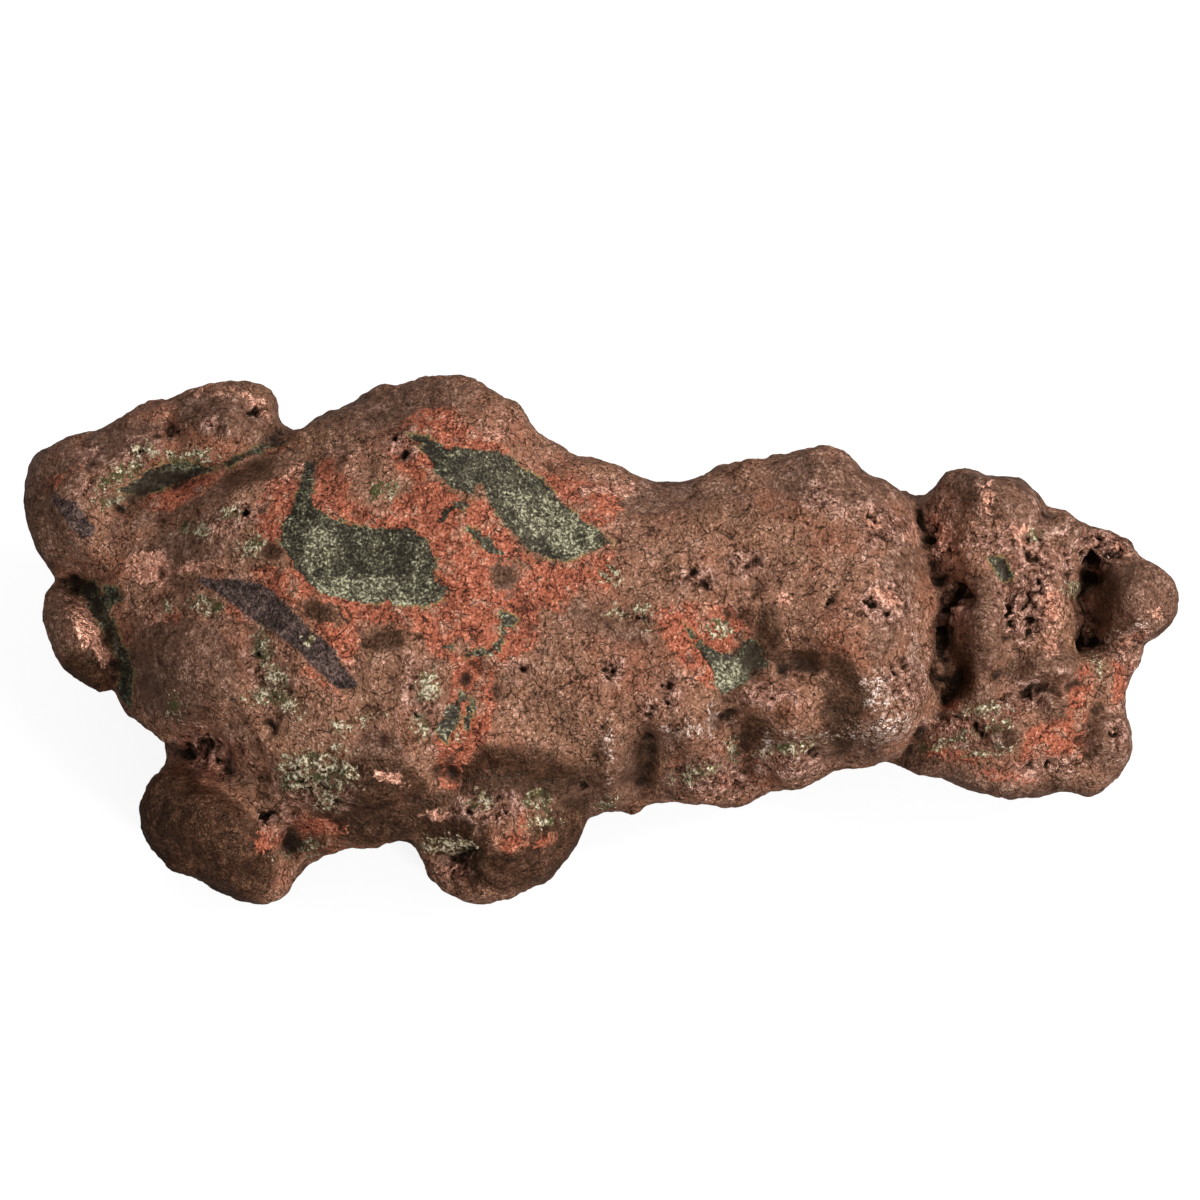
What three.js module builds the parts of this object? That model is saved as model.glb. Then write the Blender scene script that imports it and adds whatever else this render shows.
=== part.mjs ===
// A native copper nugget: one lump of copper that grew in a rock's cavities and was worn round.
// It lies on a broad worn foot, with its flattest, inlaid face leaning back and up.
//
// The nugget is described in its face frame, in millimetres: u runs along its length, v across
// the broad face and w straight out of that face. The part's own frame has +Z up and stands on
// z = 0, and the broad face leans back in it by FACE_LEAN.

import * as THREE from "three";
import { mergeVertices } from "three/addons/utils/BufferGeometryUtils.js";

// ---- Driving dimensions (mm, degrees) ----

const FACE_LEAN = 30; // how far the broad face leans back from level
const FACE_ORIGIN = { x: 0.1, y: -1.5, z: 17.6 }; // where the face frame's origin sits in the part
const GRAIN = 1.75; // edge of the cells that the skin is drawn through
const REACH = { x: 53, y: 33, below: 2.8, top: 46 }; // a box that holds the whole nugget

// ---- The outline of the broad face (u, v), clockwise from the left tip ----

const OUTLINE = [
  [-50, 13], [-48.9, 15.9], [-45, 17.7], [-41, 19.3], [-36.5, 20.8], [-32, 22.3], [-29.3, 21.8],
  [-27.9, 19.2], [-27, 18], [-25, 18.9], [-21.2, 20.4], [-17.5, 22], [-12.5, 22.9], [-9.3, 21.6],
  [-6.4, 19.2], [-5.2, 17.5], [-2.5, 15.9], [1, 15], [5, 13.4], [9, 14], [13, 15.3], [18.5, 16.5],
  [21.8, 15.6], [23.8, 13.8], [27.5, 12.1], [29.4, 13.8], [31.5, 14.8], [35, 14.2], [37.2, 13],
  [38.9, 10.8], [41, 10.7], [44.2, 9.5], [46.5, 7.4], [48.6, 6.3], [49.9, 3.6], [49.2, 1.1],
  [46.9, -0.4], [46.4, -2.8], [45.3, -5], [46, -8.8], [45, -11.5], [42, -13.3], [39, -13.3],
  [36, -13.8], [31, -12.3], [27, -11.5], [24.5, -10.6], [20.5, -11.2], [18, -12.7], [14.7, -13],
  [11.5, -14.2], [7, -13.8], [4.5, -14.1], [2.5, -15.1], [-1, -15.3], [-2.7, -18.5], [-5.2, -21.3],
  [-9.5, -22.6], [-13, -22], [-15, -19.3], [-17.5, -17.2], [-22, -17.9], [-25.7, -19.8],
  [-27.3, -22.1], [-30.5, -22.6], [-35, -20.8], [-38.5, -18.4], [-39.7, -15], [-37.2, -10.8],
  [-38, -8.3], [-41.3, -5.5], [-43.5, -4.3], [-46.4, -2.2], [-47.9, 1.8], [-47.2, 5.2],
  [-49.3, 9.5],
];
const OUTLINE_STEPS = 3; // straight steps from one outline point to the next

// The slab within the outline, at stations along u: the height of its middle, half its thickness,
// and how far in from the outline its rounded edge reaches.
const SLAB = [
  { u: -50, middle: -4, half: 5, edge: 6 },
  { u: -40, middle: -4, half: 7.5, edge: 8 },
  { u: -30, middle: -3, half: 9.5, edge: 10 },
  { u: -15, middle: -2.5, half: 11, edge: 12 },
  { u: 5, middle: -2.5, half: 10, edge: 11 },
  { u: 22, middle: -2.5, half: 9.5, edge: 9 },
  { u: 31, middle: -4.5, half: 7, edge: 6 },
  { u: 50, middle: -4.5, half: 5, edge: 5 },
];
const SLAB_SQUARE = 2.2; // 2 makes the edge an ellipse, more makes it squarer

// ---- The lobes ----
// Each lobe is a rounded mass: its centre, its half sizes, its turn about w in degrees, how square
// it is (2 is an ellipsoid, more is flatter-faced), and how softly it runs into what is there.

const lobe = (at, radii, turn = 0, square = 2, blend = 1.6) => ({ at, radii, turn, square, blend });

const FACE = [
  lobe([-20, 2, -4], [17.5, 15.5, 14.5], 0, 2.7, 3), // the inlaid left half
  lobe([-32, -3.5, -4], [8.5, 7.5, 12], -15, 2.2, 3), // its left shoulder
  lobe([-14, 14.2, -4], [8.5, 7.2, 11], 0, 2, 3), // the hump of the upper rim
  lobe([4, -0.5, -4], [15, 10.8, 13], -4, 2.6, 3), // the middle
  lobe([22, -1, -4], [6.6, 9.5, 13], 0, 2.2, 2.5), // the swollen end of the middle
  lobe([18.5, 11.2, -4], [5.2, 4.7, 9], 0, 2, 1.5),
  lobe([8, 9, -4], [7, 4.5, 10], 10, 2, 2),
];
const LEFT_END = [
  lobe([-43.4, 11.6, -4], [6, 5.9, 8], 0, 2, 1.5), // the blunt left tip
  lobe([-31.8, 17.4, -5], [4, 4.6, 7], 0, 2, 1.2), // the upper lip
  lobe([-45.1, 0.6, -3], [4.9, 2.6, 5], -68, 2, 0.6), // the side pebble
];
const FEET = [
  lobe([-32.4, -15.7, -2], [8, 5.6, 9], -33, 2.1, 1.5), // the left foot
  lobe([-20, -8.4, -2], [11, 7.4, 11.5], 0, 2.4, 2), // the belly between the feet
  lobe([-9, -15.2, -2], [6.2, 7, 9.5], 0, 2.1, 2), // the right foot
];
const LOWER_RIM = [
  lobe([1, -9.5, -3], [4.6, 4.8, 8], 0, 2, 1.5),
  lobe([7.6, -9.4, -3.5], [3.3, 3.6, 7.5], 0, 2, 1),
  lobe([12.3, -10, -3.5], [3.3, 3.8, 6.5], 0, 2, 1),
  lobe([23.5, -6, -3], [4.4, 4.4, 9], 0, 2, 1),
];
const RIGHT_END = [
  lobe([33.8, 10.6, -4], [4.2, 3.9, 7], 0, 2, 0.8), // the upper knuckle
  lobe([46, 3.3, -2], [3.6, 3.3, 5.5], 0, 2, 0.6), // the end knob
  lobe([33, 1.2, -3], [2.5, 5.2, 7.5], -8, 2.2, 0.8), // the inner knob beside the cleft
  lobe([38.3, 4.2, -4], [2.6, 5.6, 7.5], 0, 2.2, 1),
  lobe([39, -9.3, -5.5], [6, 3.8, 5.5], 0, 2.2, 1),
];
const KEEL = [
  lobe([-18, -4, -7], [18.5, 11.5, 17], 0, 2.4, 3.5), // the heavy back, worn flat underneath
  lobe([10, -0.5, -8], [17, 9.5, 14], 0, 2.4, 4),
  lobe([-30, 9, -9], [8, 7, 6], 20, 2, 2),
  lobe([-9, 12, -10], [8, 6, 6], 0, 2, 2),
  lobe([17, 6.5, -11], [8, 5, 5], -15, 2, 2),
  lobe([36, 1, -9], [6, 6, 5], 0, 2, 1.5),
];
const LOBES = [...FACE, ...LEFT_END, ...FEET, ...LOWER_RIM, ...RIGHT_END, ...KEEL];

// ---- Clefts: valleys cast into the broad face along a line of (u, v) points ----

const CLEFT_FADE = { from: 0, to: -6 }; // the heights over which a cleft dies out behind the face
const CLEFTS = [
  {
    line: [[26.8, 12.6], [28, 9], [28.2, 6], [29.8, 3.5], [29.8, 1.5], [29.2, -2], [29.4, -4.5]],
    width: 1.9,
    depth: 3,
  },
  { line: [[29.4, -4.5], [28, -7.5], [25.5, -10.6]], width: 1.9, depth: 2.2 },
  { line: [[41.9, 6.2], [42.2, 3.5], [42.2, 0.8], [42.8, -1]], width: 1.7, depth: 3.2 },
  { line: [[-47, 5.4], [-44.4, 4], [-42.4, 1], [-41.6, -1.5], [-41.6, -5]], width: 1.7, depth: 2.6 },
  { line: [[-42.5, 10.6], [-38, 12], [-34, 13.4], [-31, 15.4], [-27, 17.5]], width: 1.9, depth: 2.2 },
  { line: [[-38, -9.5], [-33, -9.8], [-28, -14.5], [-26, -19]], width: 1.9, depth: 2 },
];

// ---- From the slab and the lobes to one skin ----

const LEAN = THREE.MathUtils.degToRad(FACE_LEAN);
const toFaceOrigin = new THREE.Matrix4()
  .makeTranslation(-FACE_ORIGIN.x, -FACE_ORIGIN.y, -FACE_ORIGIN.z);
const partToFace = new THREE.Matrix4().makeRotationX(-LEAN).multiply(toFaceOrigin);

const outlineCurve = new THREE.CatmullRomCurve3(
  OUTLINE.map(([u, v]) => new THREE.Vector3(u, v, 0)), true, "centripetal");
const outline = outlineCurve.getPoints(OUTLINE.length * OUTLINE_STEPS).map((p) => [p.x, p.y]);

function distanceToLine(u, v, line) {
  let nearest = Infinity;
  for (let i = 1; i < line.length; i += 1) {
    const [u0, v0] = line[i - 1];
    const [du, dv] = [line[i][0] - u0, line[i][1] - v0];
    const share = ((u - u0) * du + (v - v0) * dv) / (du * du + dv * dv);
    const near = Math.min(Math.max(share, 0), 1);
    nearest = Math.min(nearest, Math.hypot(u - u0 - near * du, v - v0 - near * dv));
  }
  return nearest;
}

function isInsideOutline(u, v) {
  let inside = false;
  for (let i = 1; i < outline.length; i += 1) {
    const [[u0, v0], [u1, v1]] = [outline[i - 1], outline[i]];
    if (v0 > v !== v1 > v && u < u0 + ((v - v0) / (v1 - v0)) * (u1 - u0)) inside = !inside;
  }
  return inside;
}

// How far a point lies outside the body where the shares' powers add up to 1, close to true near
// its surface. A share is a distance from the body's middle over the body's half size that way.
function outsideRound(shares, radii, square) {
  const sum = shares.reduce((total, share) => total + share ** square, 0);
  const size = Math.max(sum, 1e-6) ** (1 / square);
  const slopes = shares.map((share, n) => share ** (square - 1) / radii[n]);
  return ((size - 1) * size ** (square - 1)) / Math.max(Math.hypot(...slopes), 1e-3);
}

function outsideLobe(p, { at, radii, turn, square }) {
  const t = THREE.MathUtils.degToRad(turn);
  const du = p.x - at[0];
  const dv = p.y - at[1];
  const along = Math.abs(du * Math.cos(t) + dv * Math.sin(t)) / radii[0];
  const across = Math.abs(dv * Math.cos(t) - du * Math.sin(t)) / radii[1];
  return outsideRound([along, across, Math.abs(p.z - at[2]) / radii[2]], radii, square);
}

function slabAt(u) {
  const next = SLAB.findIndex((station) => station.u > u);
  if (next === 0) return SLAB[0];
  if (next < 0) return SLAB[SLAB.length - 1];
  const [a, b] = [SLAB[next - 1], SLAB[next]];
  const share = THREE.MathUtils.smoothstep(u, a.u, b.u);
  const mix = (key) => THREE.MathUtils.lerp(a[key], b[key], share);
  return { middle: mix("middle"), half: mix("half"), edge: mix("edge") };
}

function outsideSlab(p) {
  const { middle, half, edge } = slabAt(p.x);
  const away = distanceToLine(p.x, p.y, outline);
  const inward = isInsideOutline(p.x, p.y) ? away : -away;
  const shares = [Math.max(edge - inward, 0) / edge, Math.abs(p.z - middle) / half];
  return outsideRound(shares, [edge, half], SLAB_SQUARE);
}

// The lower of two distances, rounded over where they are within `blend` of each other.
function blendedMin(a, b, blend) {
  const near = Math.max(blend - Math.abs(a - b), 0) / blend;
  return Math.min(a, b) - (near * near * blend) / 4;
}

function cleftDepth(p) {
  let deepest = 0;
  for (const { line, width, depth } of CLEFTS) {
    const away = distanceToLine(p.x, p.y, line) / width;
    deepest = Math.max(deepest, depth * Math.exp(-away * away));
  }
  return deepest * THREE.MathUtils.smoothstep(p.z, CLEFT_FADE.to, CLEFT_FADE.from);
}

// Below zero inside the nugget, above zero outside it; the point is in the part's own frame.
function field(point) {
  const p = point.clone().applyMatrix4(partToFace);
  let outside = outsideSlab(p);
  for (const each of LOBES) outside = blendedMin(outside, outsideLobe(p, each), each.blend);
  return Math.max(outside + cleftDepth(p), -point.z);
}

// Draws a skin where the field passes through zero. Each patch of skin in a cell of the grid has
// one vertex, at the middle of the patch's crossings, and each grid edge that the skin crosses
// has one quad round it. A patch belongs to one group of joined inside corners of its cell.
function drawSkin(low, high, step) {
  const count = high.clone().sub(low).divideScalar(step).ceil().addScalar(1);
  const corner = (at) => new THREE.Vector3(...at).multiplyScalar(step).add(low);
  const index = ([i, j, k]) => (k * count.y + j) * count.x + i;
  const plus = (a, b) => a.map((x, n) => x + b[n]);
  const eachCell = (first, visit) => {
    for (let k = first; k < count.z - 1; k += 1)
      for (let j = first; j < count.y - 1; j += 1)
        for (let i = first; i < count.x - 1; i += 1) visit([i, j, k]);
  };
  const values = new Float64Array(count.x * count.y * count.z);
  for (let k = 0; k < count.z; k += 1)
    for (let j = 0; j < count.y; j += 1)
      for (let i = 0; i < count.x; i += 1) values[index([i, j, k])] = field(corner([i, j, k]));

  const cellCorners = [0, 1, 2, 3, 4, 5, 6, 7].map((n) => [n & 1, (n >> 1) & 1, n >> 2]);
  const neighbours = cellCorners.map((_, n) => [n ^ 1, n ^ 2, n ^ 4]);
  const vertices = [];
  const vertexAt = new Map();
  eachCell(0, (cell) => {
    const value = cellCorners.map((c) => values[index(plus(cell, c))]);
    const reached = new Set();
    value.forEach((_, start) => {
      if (value[start] >= 0 || reached.has(start)) return;
      const group = [start];
      const middle = new THREE.Vector3();
      let crossings = 0;
      reached.add(start);
      for (const a of group)
        for (const b of neighbours[a]) {
          if (value[b] >= 0) {
            const share = value[a] / (value[a] - value[b]);
            const [from, to] = [a, b].map((n) => corner(plus(cell, cellCorners[n])));
            middle.add(from.lerp(to, share));
            crossings += 1;
          } else if (!reached.has(b)) {
            reached.add(b);
            group.push(b);
          }
        }
      if (!crossings) return;
      for (const a of group) vertexAt.set(index(cell) * 8 + a, vertices.length / 3);
      vertices.push(...middle.divideScalar(crossings).toArray());
    });
  });

  const triangles = [];
  const axes = [[1, 0, 0], [0, 1, 0], [0, 0, 1]];
  eachCell(1, (start) =>
    axes.forEach((axis, n) => {
      const end = plus(start, axis);
      const startInside = values[index(start)] < 0;
      if (startInside === values[index(end)] < 0) return;
      const inner = startInside ? start : end;
      const [p, q] = [axes[(n + 1) % 3], axes[(n + 2) % 3]];
      const around = [[0, 0], [1, 0], [1, 1], [0, 1]].map(([a, b]) => {
        const cell = start.map((x, m) => x - a * p[m] - b * q[m]);
        const [i, j, k] = inner.map((x, m) => x - cell[m]);
        return vertexAt.get(index(cell) * 8 + i + 2 * j + 4 * k);
      });
      const [a, b, c, d] = startInside ? around : around.reverse();
      triangles.push(a, b, c, a, c, d);
    }));
  const skin = new THREE.BufferGeometry();
  skin.setAttribute("position", new THREE.Float32BufferAttribute(vertices, 3));
  skin.setIndex(triangles);
  return skin;
}

const copper = new THREE.MeshStandardMaterial({ color: 0x6e4a3a, roughness: 0.5, metalness: 0.6 });
const low = new THREE.Vector3(-REACH.x, -REACH.y, -REACH.below);
const high = new THREE.Vector3(REACH.x, REACH.y, REACH.top);
const nugget = new THREE.Mesh(mergeVertices(drawSkin(low, high, GRAIN)), copper);
nugget.name = "nugget";

const part = new THREE.Group();
part.add(nugget);
export default part;
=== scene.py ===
# %% [markdown]
# # A native copper nugget
#
# This lesson makes one lump of native copper, worn round by ice and water. Its maker's job is
# the looks: the sculpted skin, the brown patina, the brick-red cuprite, and the dark rock that
# is locked in the metal and worn flush with it. The nugget's real size and the way that it lies
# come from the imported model, which is loaded first and never changed.

# %% Load the frame
import math

import bpy
import numpy as np
from mathutils import Matrix, Vector, noise


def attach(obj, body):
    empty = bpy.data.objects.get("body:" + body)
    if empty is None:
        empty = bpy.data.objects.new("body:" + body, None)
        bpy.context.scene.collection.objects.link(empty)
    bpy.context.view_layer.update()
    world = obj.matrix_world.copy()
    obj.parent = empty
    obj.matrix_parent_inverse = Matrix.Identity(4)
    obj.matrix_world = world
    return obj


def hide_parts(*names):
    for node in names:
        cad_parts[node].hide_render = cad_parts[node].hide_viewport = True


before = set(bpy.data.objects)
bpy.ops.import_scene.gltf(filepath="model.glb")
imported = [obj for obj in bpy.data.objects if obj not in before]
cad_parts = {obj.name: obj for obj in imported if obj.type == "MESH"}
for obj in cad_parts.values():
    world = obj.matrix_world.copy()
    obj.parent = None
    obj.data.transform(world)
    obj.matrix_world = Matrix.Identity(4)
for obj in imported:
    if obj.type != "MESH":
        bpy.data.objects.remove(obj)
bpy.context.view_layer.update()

MM = 0.001

# %% [markdown]
# ## The face frame
#
# The nugget is easiest to describe as it is held in the hand: u runs along it, v across its
# broad face and w straight out of that face, all in millimetres. The nugget lies with that face
# leaning back, so the face frame is turned about X and lifted. Most strokes and patches below
# are placed by u and v, and this one matrix takes them to their place. The camera looks straight
# at the broad face through a long lens, so that the outline is the one that the hand knows.

# %% Face frame and camera
FACE_LEAN = math.radians(30)
FACE_ORIGIN = Vector((0.1, -1.5, 17.6)) * MM
face_to_row = Matrix.Translation(FACE_ORIGIN) @ Matrix.Rotation(FACE_LEAN, 4, "X")
FACE_AXES = np.array(face_to_row.to_3x3())  # columns: u, v and w in the row frame

LENS = 400.0
SENSOR = 36.0
VIEW_WIDTH = 103.63  # mm across the view, at the nugget
VIEW_CENTRE = (0.0, 3.45)
EYE_AWAY = VIEW_WIDTH * LENS / SENSOR

camera_data = bpy.data.cameras.new("camera")
camera_data.lens = LENS
camera_data.sensor_width = SENSOR
camera_data.clip_end = 20
camera = bpy.data.objects.new("camera", camera_data)
camera.matrix_world = face_to_row @ Matrix.Translation(Vector((*VIEW_CENTRE, EYE_AWAY)) * MM)
bpy.context.scene.collection.objects.link(camera)
bpy.context.scene.camera = camera
print("the camera stands", round(EYE_AWAY), "mm from the face")


# %% [markdown]
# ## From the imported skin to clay
#
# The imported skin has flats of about 2 mm. A copy of it is merged and rounded by subdivision,
# and then remeshed to small even squares. That is the clay to sculpt: even squares take a
# stroke equally well everywhere, as in a sculpt room. The clay starts coarse, because broad
# forms need few points, and it is remeshed finer before the small relief goes on.

# %% Copy, round and remesh the skin
COARSE = 0.5 * MM


def pick_only(piece):
    bpy.ops.object.select_all(action="DESELECT")
    piece.select_set(True)
    bpy.context.view_layer.objects.active = piece


def apply_modifier(piece, kind, **settings):
    pick_only(piece)
    modifier = piece.modifiers.new(kind.lower(), kind)
    for name, value in settings.items():
        setattr(modifier, name, value)
    bpy.ops.object.modifier_apply(modifier=modifier.name)


def remesh(piece, size, smoothing):
    apply_modifier(piece, "REMESH", mode="VOXEL", voxel_size=size, adaptivity=0)
    apply_modifier(piece, "SMOOTH", factor=0.5, iterations=smoothing)
    print("clay squares of", round(size / MM, 2), "mm:", len(piece.data.vertices), "points")


nugget = bpy.data.objects.new("nugget_body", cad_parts["nugget"].data.copy())
bpy.context.scene.collection.objects.link(nugget)
pick_only(nugget)
bpy.ops.object.mode_set(mode="EDIT")
bpy.ops.mesh.select_all(action="SELECT")
bpy.ops.mesh.remove_doubles(threshold=0.001 * MM)
bpy.ops.object.mode_set(mode="OBJECT")
apply_modifier(nugget, "SUBSURF", levels=2, render_levels=2)
remesh(nugget, COARSE, 5)


# %% [markdown]
# ## Reading and moving the clay
#
# A stroke is a plain function of the points' places, and says how far each point is lifted, in
# millimetres. The points are read into the face frame once, the strokes add up, and then every
# point moves, half along its own normal and half straight out of the face, which keeps steep
# places from folding. Strokes on the broad face take hold only of points that look out of it, so
# that the back keeps its own shape. Before a stroke is measured, the places are shaken a little
# by noise, because nothing on a nugget is a true oval or a clean line.

# %% Clay helpers
def ease(x, low, high):
    share = np.clip((x - low) / (high - low), 0, 1)
    return share * share * (3 - 2 * share)


def read_points(piece):
    mesh = piece.data
    flat = np.zeros(len(mesh.vertices) * 3)
    mesh.vertices.foreach_get("co", flat)
    normals = np.zeros(len(mesh.vertices) * 3)
    mesh.vertices.foreach_get("normal", normals)
    places = (flat.reshape(-1, 3) - np.array(FACE_ORIGIN)) @ FACE_AXES / MM
    return places, normals.reshape(-1, 3) @ FACE_AXES


def to_row(places):
    return places @ FACE_AXES.T + np.array(FACE_ORIGIN) / MM


def write_points(piece, places):
    row = to_row(places)
    row[:, 2] = np.maximum(row[:, 2], 0)  # the worn foot stays flat on the floor
    piece.data.vertices.foreach_set("co", (row * MM).ravel())
    piece.data.update()


NOISE_SEED = 4
noise.seed_set(NOISE_SEED)  # unseeded, vector noise starts at a new place in each run


def noise_at(places, function, scale):
    """Reads a noise function at each place. scale is in waves per mm."""
    return np.array([function(Vector(p)) for p in places * scale])


def shaken(places, scale, amount):
    """The places, moved by smooth noise by up to about the amount, in mm."""
    return places + amount * noise_at(places, noise.noise_vector, scale)


def nearest_on_line(places, line):
    """The step from each point to a line of (u, v) points, the side of the line that the point
    is on (left is positive), and the share of the line's length at which the step ends."""
    corners = np.array(line, float)
    lengths = np.hypot(*(corners[1:] - corners[:-1]).T)
    nearest = np.full(len(places), 1e9)
    steps = np.zeros((len(places), 2))
    sides = np.zeros(len(places))
    shares = np.zeros(len(places))
    for n, (a, b) in enumerate(zip(corners[:-1], corners[1:])):
        away = places[:, :2] - a
        share = np.clip(away @ (b - a) / lengths[n] ** 2, 0, 1)
        step = share[:, None] * (b - a) - away
        distance = np.hypot(step[:, 0], step[:, 1])
        closer = distance < nearest
        nearest[closer] = distance[closer]
        steps[closer] = step[closer]
        turn = (b - a)[0] * away[:, 1] - (b - a)[1] * away[:, 0]
        sides[closer] = np.sign(turn)[closer]
        shares[closer] = ((lengths[:n].sum() + share * lengths[n]) / lengths.sum())[closer]
    return steps, nearest, sides, shares


def inside_outline(places, outline):
    """Signed distance to a closed outline of (u, v) points, in mm: positive inside it."""
    closed = list(outline) + [outline[0]]
    inside = np.zeros(len(places), bool)
    u, v = places[:, 0], places[:, 1]
    for (u0, v0), (u1, v1) in zip(closed[:-1], closed[1:]):
        if v0 != v1:
            crosses = (v0 > v) != (v1 > v)
            inside ^= crosses & (u < u0 + (v - v0) / (v1 - v0) * (u1 - u0))
    distance = nearest_on_line(places, closed)[1]
    return np.where(inside, distance, -distance)


def oval_shares(places, u, v, long, short, turn):
    """How far out each point is, in shares of an oval's half sizes, along it and across it."""
    t = math.radians(turn)
    du, dv = places[:, 0] - u, places[:, 1] - v
    along = (du * math.cos(t) + dv * math.sin(t)) / long
    across = (dv * math.cos(t) - du * math.sin(t)) / short
    return along, across


def inside_oval(places, u, v, long, short, turn=0):
    """Roughly the signed distance to an oval's edge, in mm: positive inside it."""
    return (1 - np.hypot(*oval_shares(places, u, v, long, short, turn))) * min(long, short)


# %% [markdown]
# ## Broad strokes
#
# What makes a worn nugget look heavy is not noise but its few big forms: the lumps, the valleys
# between them, and the banks where one lump laps over another. Each is one stroke, as with a
# clay tool. A mound lifts an oval, a valley sinks a line that fades at both ends, and a bank
# lifts the ground on the left of its line and lowers the ground on the right.

# %% Mounds, valleys and banks
def mound(places, u, v, long, short, turn, height):
    along, across = oval_shares(places, u, v, long, short, turn)
    return height * np.clip(1 - along**2 - across**2, 0, 1) ** 1.5


def fade_at_ends(shares, part=0.16):
    return ease(shares, 0, part) * ease(1 - shares, 0, part)


def valley(places, line, width, depth):
    _, distance, _, shares = nearest_on_line(places, line)
    return -depth * np.exp(-((distance / width) ** 1.7)) * fade_at_ends(shares)


def bank(places, line, run, reach, height):
    _, distance, sides, shares = nearest_on_line(places, line)
    profile = np.tanh(sides * distance / run) * np.exp(-((distance / reach) ** 2))
    return 0.5 * height * profile * fade_at_ends(shares)


MOUNDS = [  # u, v, long, short, turn, height
    (-20, -12.2, 5, 3.8, 0, 1.3), (-33, -16, 6, 4.2, -33, 0.8), (-8.5, -16.2, 4.6, 4.2, 0, 1.3),
    (-45.2, 0.6, 3.6, 2, -68, 0.6), (-31.5, 17.8, 4.5, 3, 10, 0.6), (-40, 16, 4, 2, 20, 0.7),
    (-45, 12, 4, 3.5, 0, 0.4), (-35, 8, 5, 2.5, 15, 0.7), (-36, -2, 5, 5, 0, 0.8),
    (-29, -9.4, 3, 2.2, 20, 0.6), (-17.2, -7.5, 2.6, 3.4, 0, 0.7), (-12, 18.5, 6, 3, -8, 0.4),
    (-20, 14.5, 5, 3.5, 20, 0.4), (-2, -4, 6.5, 5, -30, 1.0), (5.5, -5.5, 4.5, 3.4, -20, 1.1),
    (0.8, -10, 1.8, 3.6, -5, 1.7), (7.7, -8, 2.7, 2.3, 10, 1.8), (8.6, -11.8, 3, 1.7, 5, 0.9),
    (15.5, -5, 4, 2.6, -12, 1.7), (16.6, -10.2, 2.8, 1.9, 12, 1.6), (25, -6.4, 3.4, 3.8, 20, 1.5),
    (20.5, 3.5, 7, 6.5, 0, 1.0), (24.5, 8, 3.5, 4, 0, 0.5), (12, 9, 6, 3, 10, 0.4),
    (32.6, 1.2, 3.0, 6.2, -5, 2.2), (38.4, -2.2, 3.5, 1.8, 8, 1.6), (34, 12, 4.2, 2.5, -12, 1.0),
    (40.4, 9, 2, 1.8, -30, 0.9), (45, 8, 2, 1.3, -30, 0.6), (38.5, 4, 2.6, 4.2, 0, 0.5),
    (47, 3.4, 2.8, 2.8, 0, 0.4), (43.8, -9, 2.3, 2.8, 0, 1.4), (39.5, -6.2, 1.8, 1.3, -40, 0.9),
    (34.8, -8.4, 1.8, 1.3, -20, 0.9), (33, -12, 4, 1.4, -12, 1.2), (42, -12.4, 2, 0.9, 0, 0.6),
    (27.5, -10.8, 2.6, 0.8, -10, 0.5), (20.2, 14.8, 3.6, 1.7, -10, 0.6),
    (-25.5, -1.5, 2.4, 1.6, -45, 0.3), (-13, 7, 5, 4, 0, 0.3), (2, 8, 4, 3, 0, 0.3),
]
VALLEYS = [  # line, width, depth
    ([(-12, -1.5), (-12, -7.5), (-13, -13)], 1.9, 0.9),
    ([(-16, -14.5), (-11.5, -12.4), (-7, -12.6), (-3.2, -13.2), (0, -14.5)], 2.4, 0.6),
    ([(-38.5, -10.4), (-34, -9.6), (-31, -11), (-28.6, -14.4), (-27, -16), (-26, -20.5)], 1.5, 0.7),
    ([(5, -7), (4.2, -10.5), (3.2, -14)], 1.5, 1.5),
    ([(11, -5.8), (12, -9), (12.6, -13.4)], 1.6, 1.3),
    ([(20.2, -4.6), (20.7, -7), (20.3, -10.8)], 2.3, 0.8),
    ([(-43, 12), (-38.5, 14), (-34, 14.9), (-31.5, 15.8)], 1.2, 0.25),
    ([(35.4, 6.4), (35.1, 2), (34.3, -0.6), (33.3, -4)], 0.5, 0.8),
    ([(29.8, 1.6), (30.2, -1.5), (30.8, -5.4)], 1.1, 1.4),
    ([(42.2, 7.6), (42.2, 3), (42.3, 0.5), (42.9, -2.2)], 0.95, 4.6),
    ([(-48, 5.2), (-45.4, 5.4), (-43.8, 3.6), (-42.6, 0.6), (-41.7, -2), (-41.8, -6)], 0.9, 1.5),
    ([(-35.6, 20.6), (-33, 21.5), (-31, 20.4), (-29, 18.4)], 0.35, 1.0),
    ([(39, 11.4), (37.6, 9.5)], 0.4, 0.9),
    ([(42, 9.8), (43.3, 8.3), (44.8, 6.8)], 0.4, 1.0),
    ([(-37.5, -6.4), (-33.5, -7.4), (-30, -7.2)], 1.5, 0.5),
    ([(44.6, -4.6), (42.6, -6.4), (41.6, -9), (41.8, -12)], 0.5, 1.0),
    ([(29.4, -4), (28.4, -7.4), (26.5, -9.8), (24.6, -11.2)], 0.7, 1.1),
    ([(26.6, 13.4), (27.9, 10), (28.2, 7), (28.8, 5.3), (30.4, 4.4)], 0.6, 1.2),
    ([(29.6, 2), (29, -1), (29.1, -3), (29.9, -6)], 0.7, 1.2),
    ([(8, 13.9), (11, 14.4), (14, 15.3), (16, 15.6)], 0.22, 0.4),
    ([(16.4, 16.3), (19, 15.3), (22.2, 14)], 0.35, 0.6),
    ([(-18, 21.5), (-14, 22), (-9.8, 21.5)], 0.25, 0.4),
    ([(36, -5.2), (40, -3.9), (43, -2.6)], 0.5, 0.9),
    ([(31, -5.6), (35, -4.4), (38, -4.6)], 0.45, 0.6),
]
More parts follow.
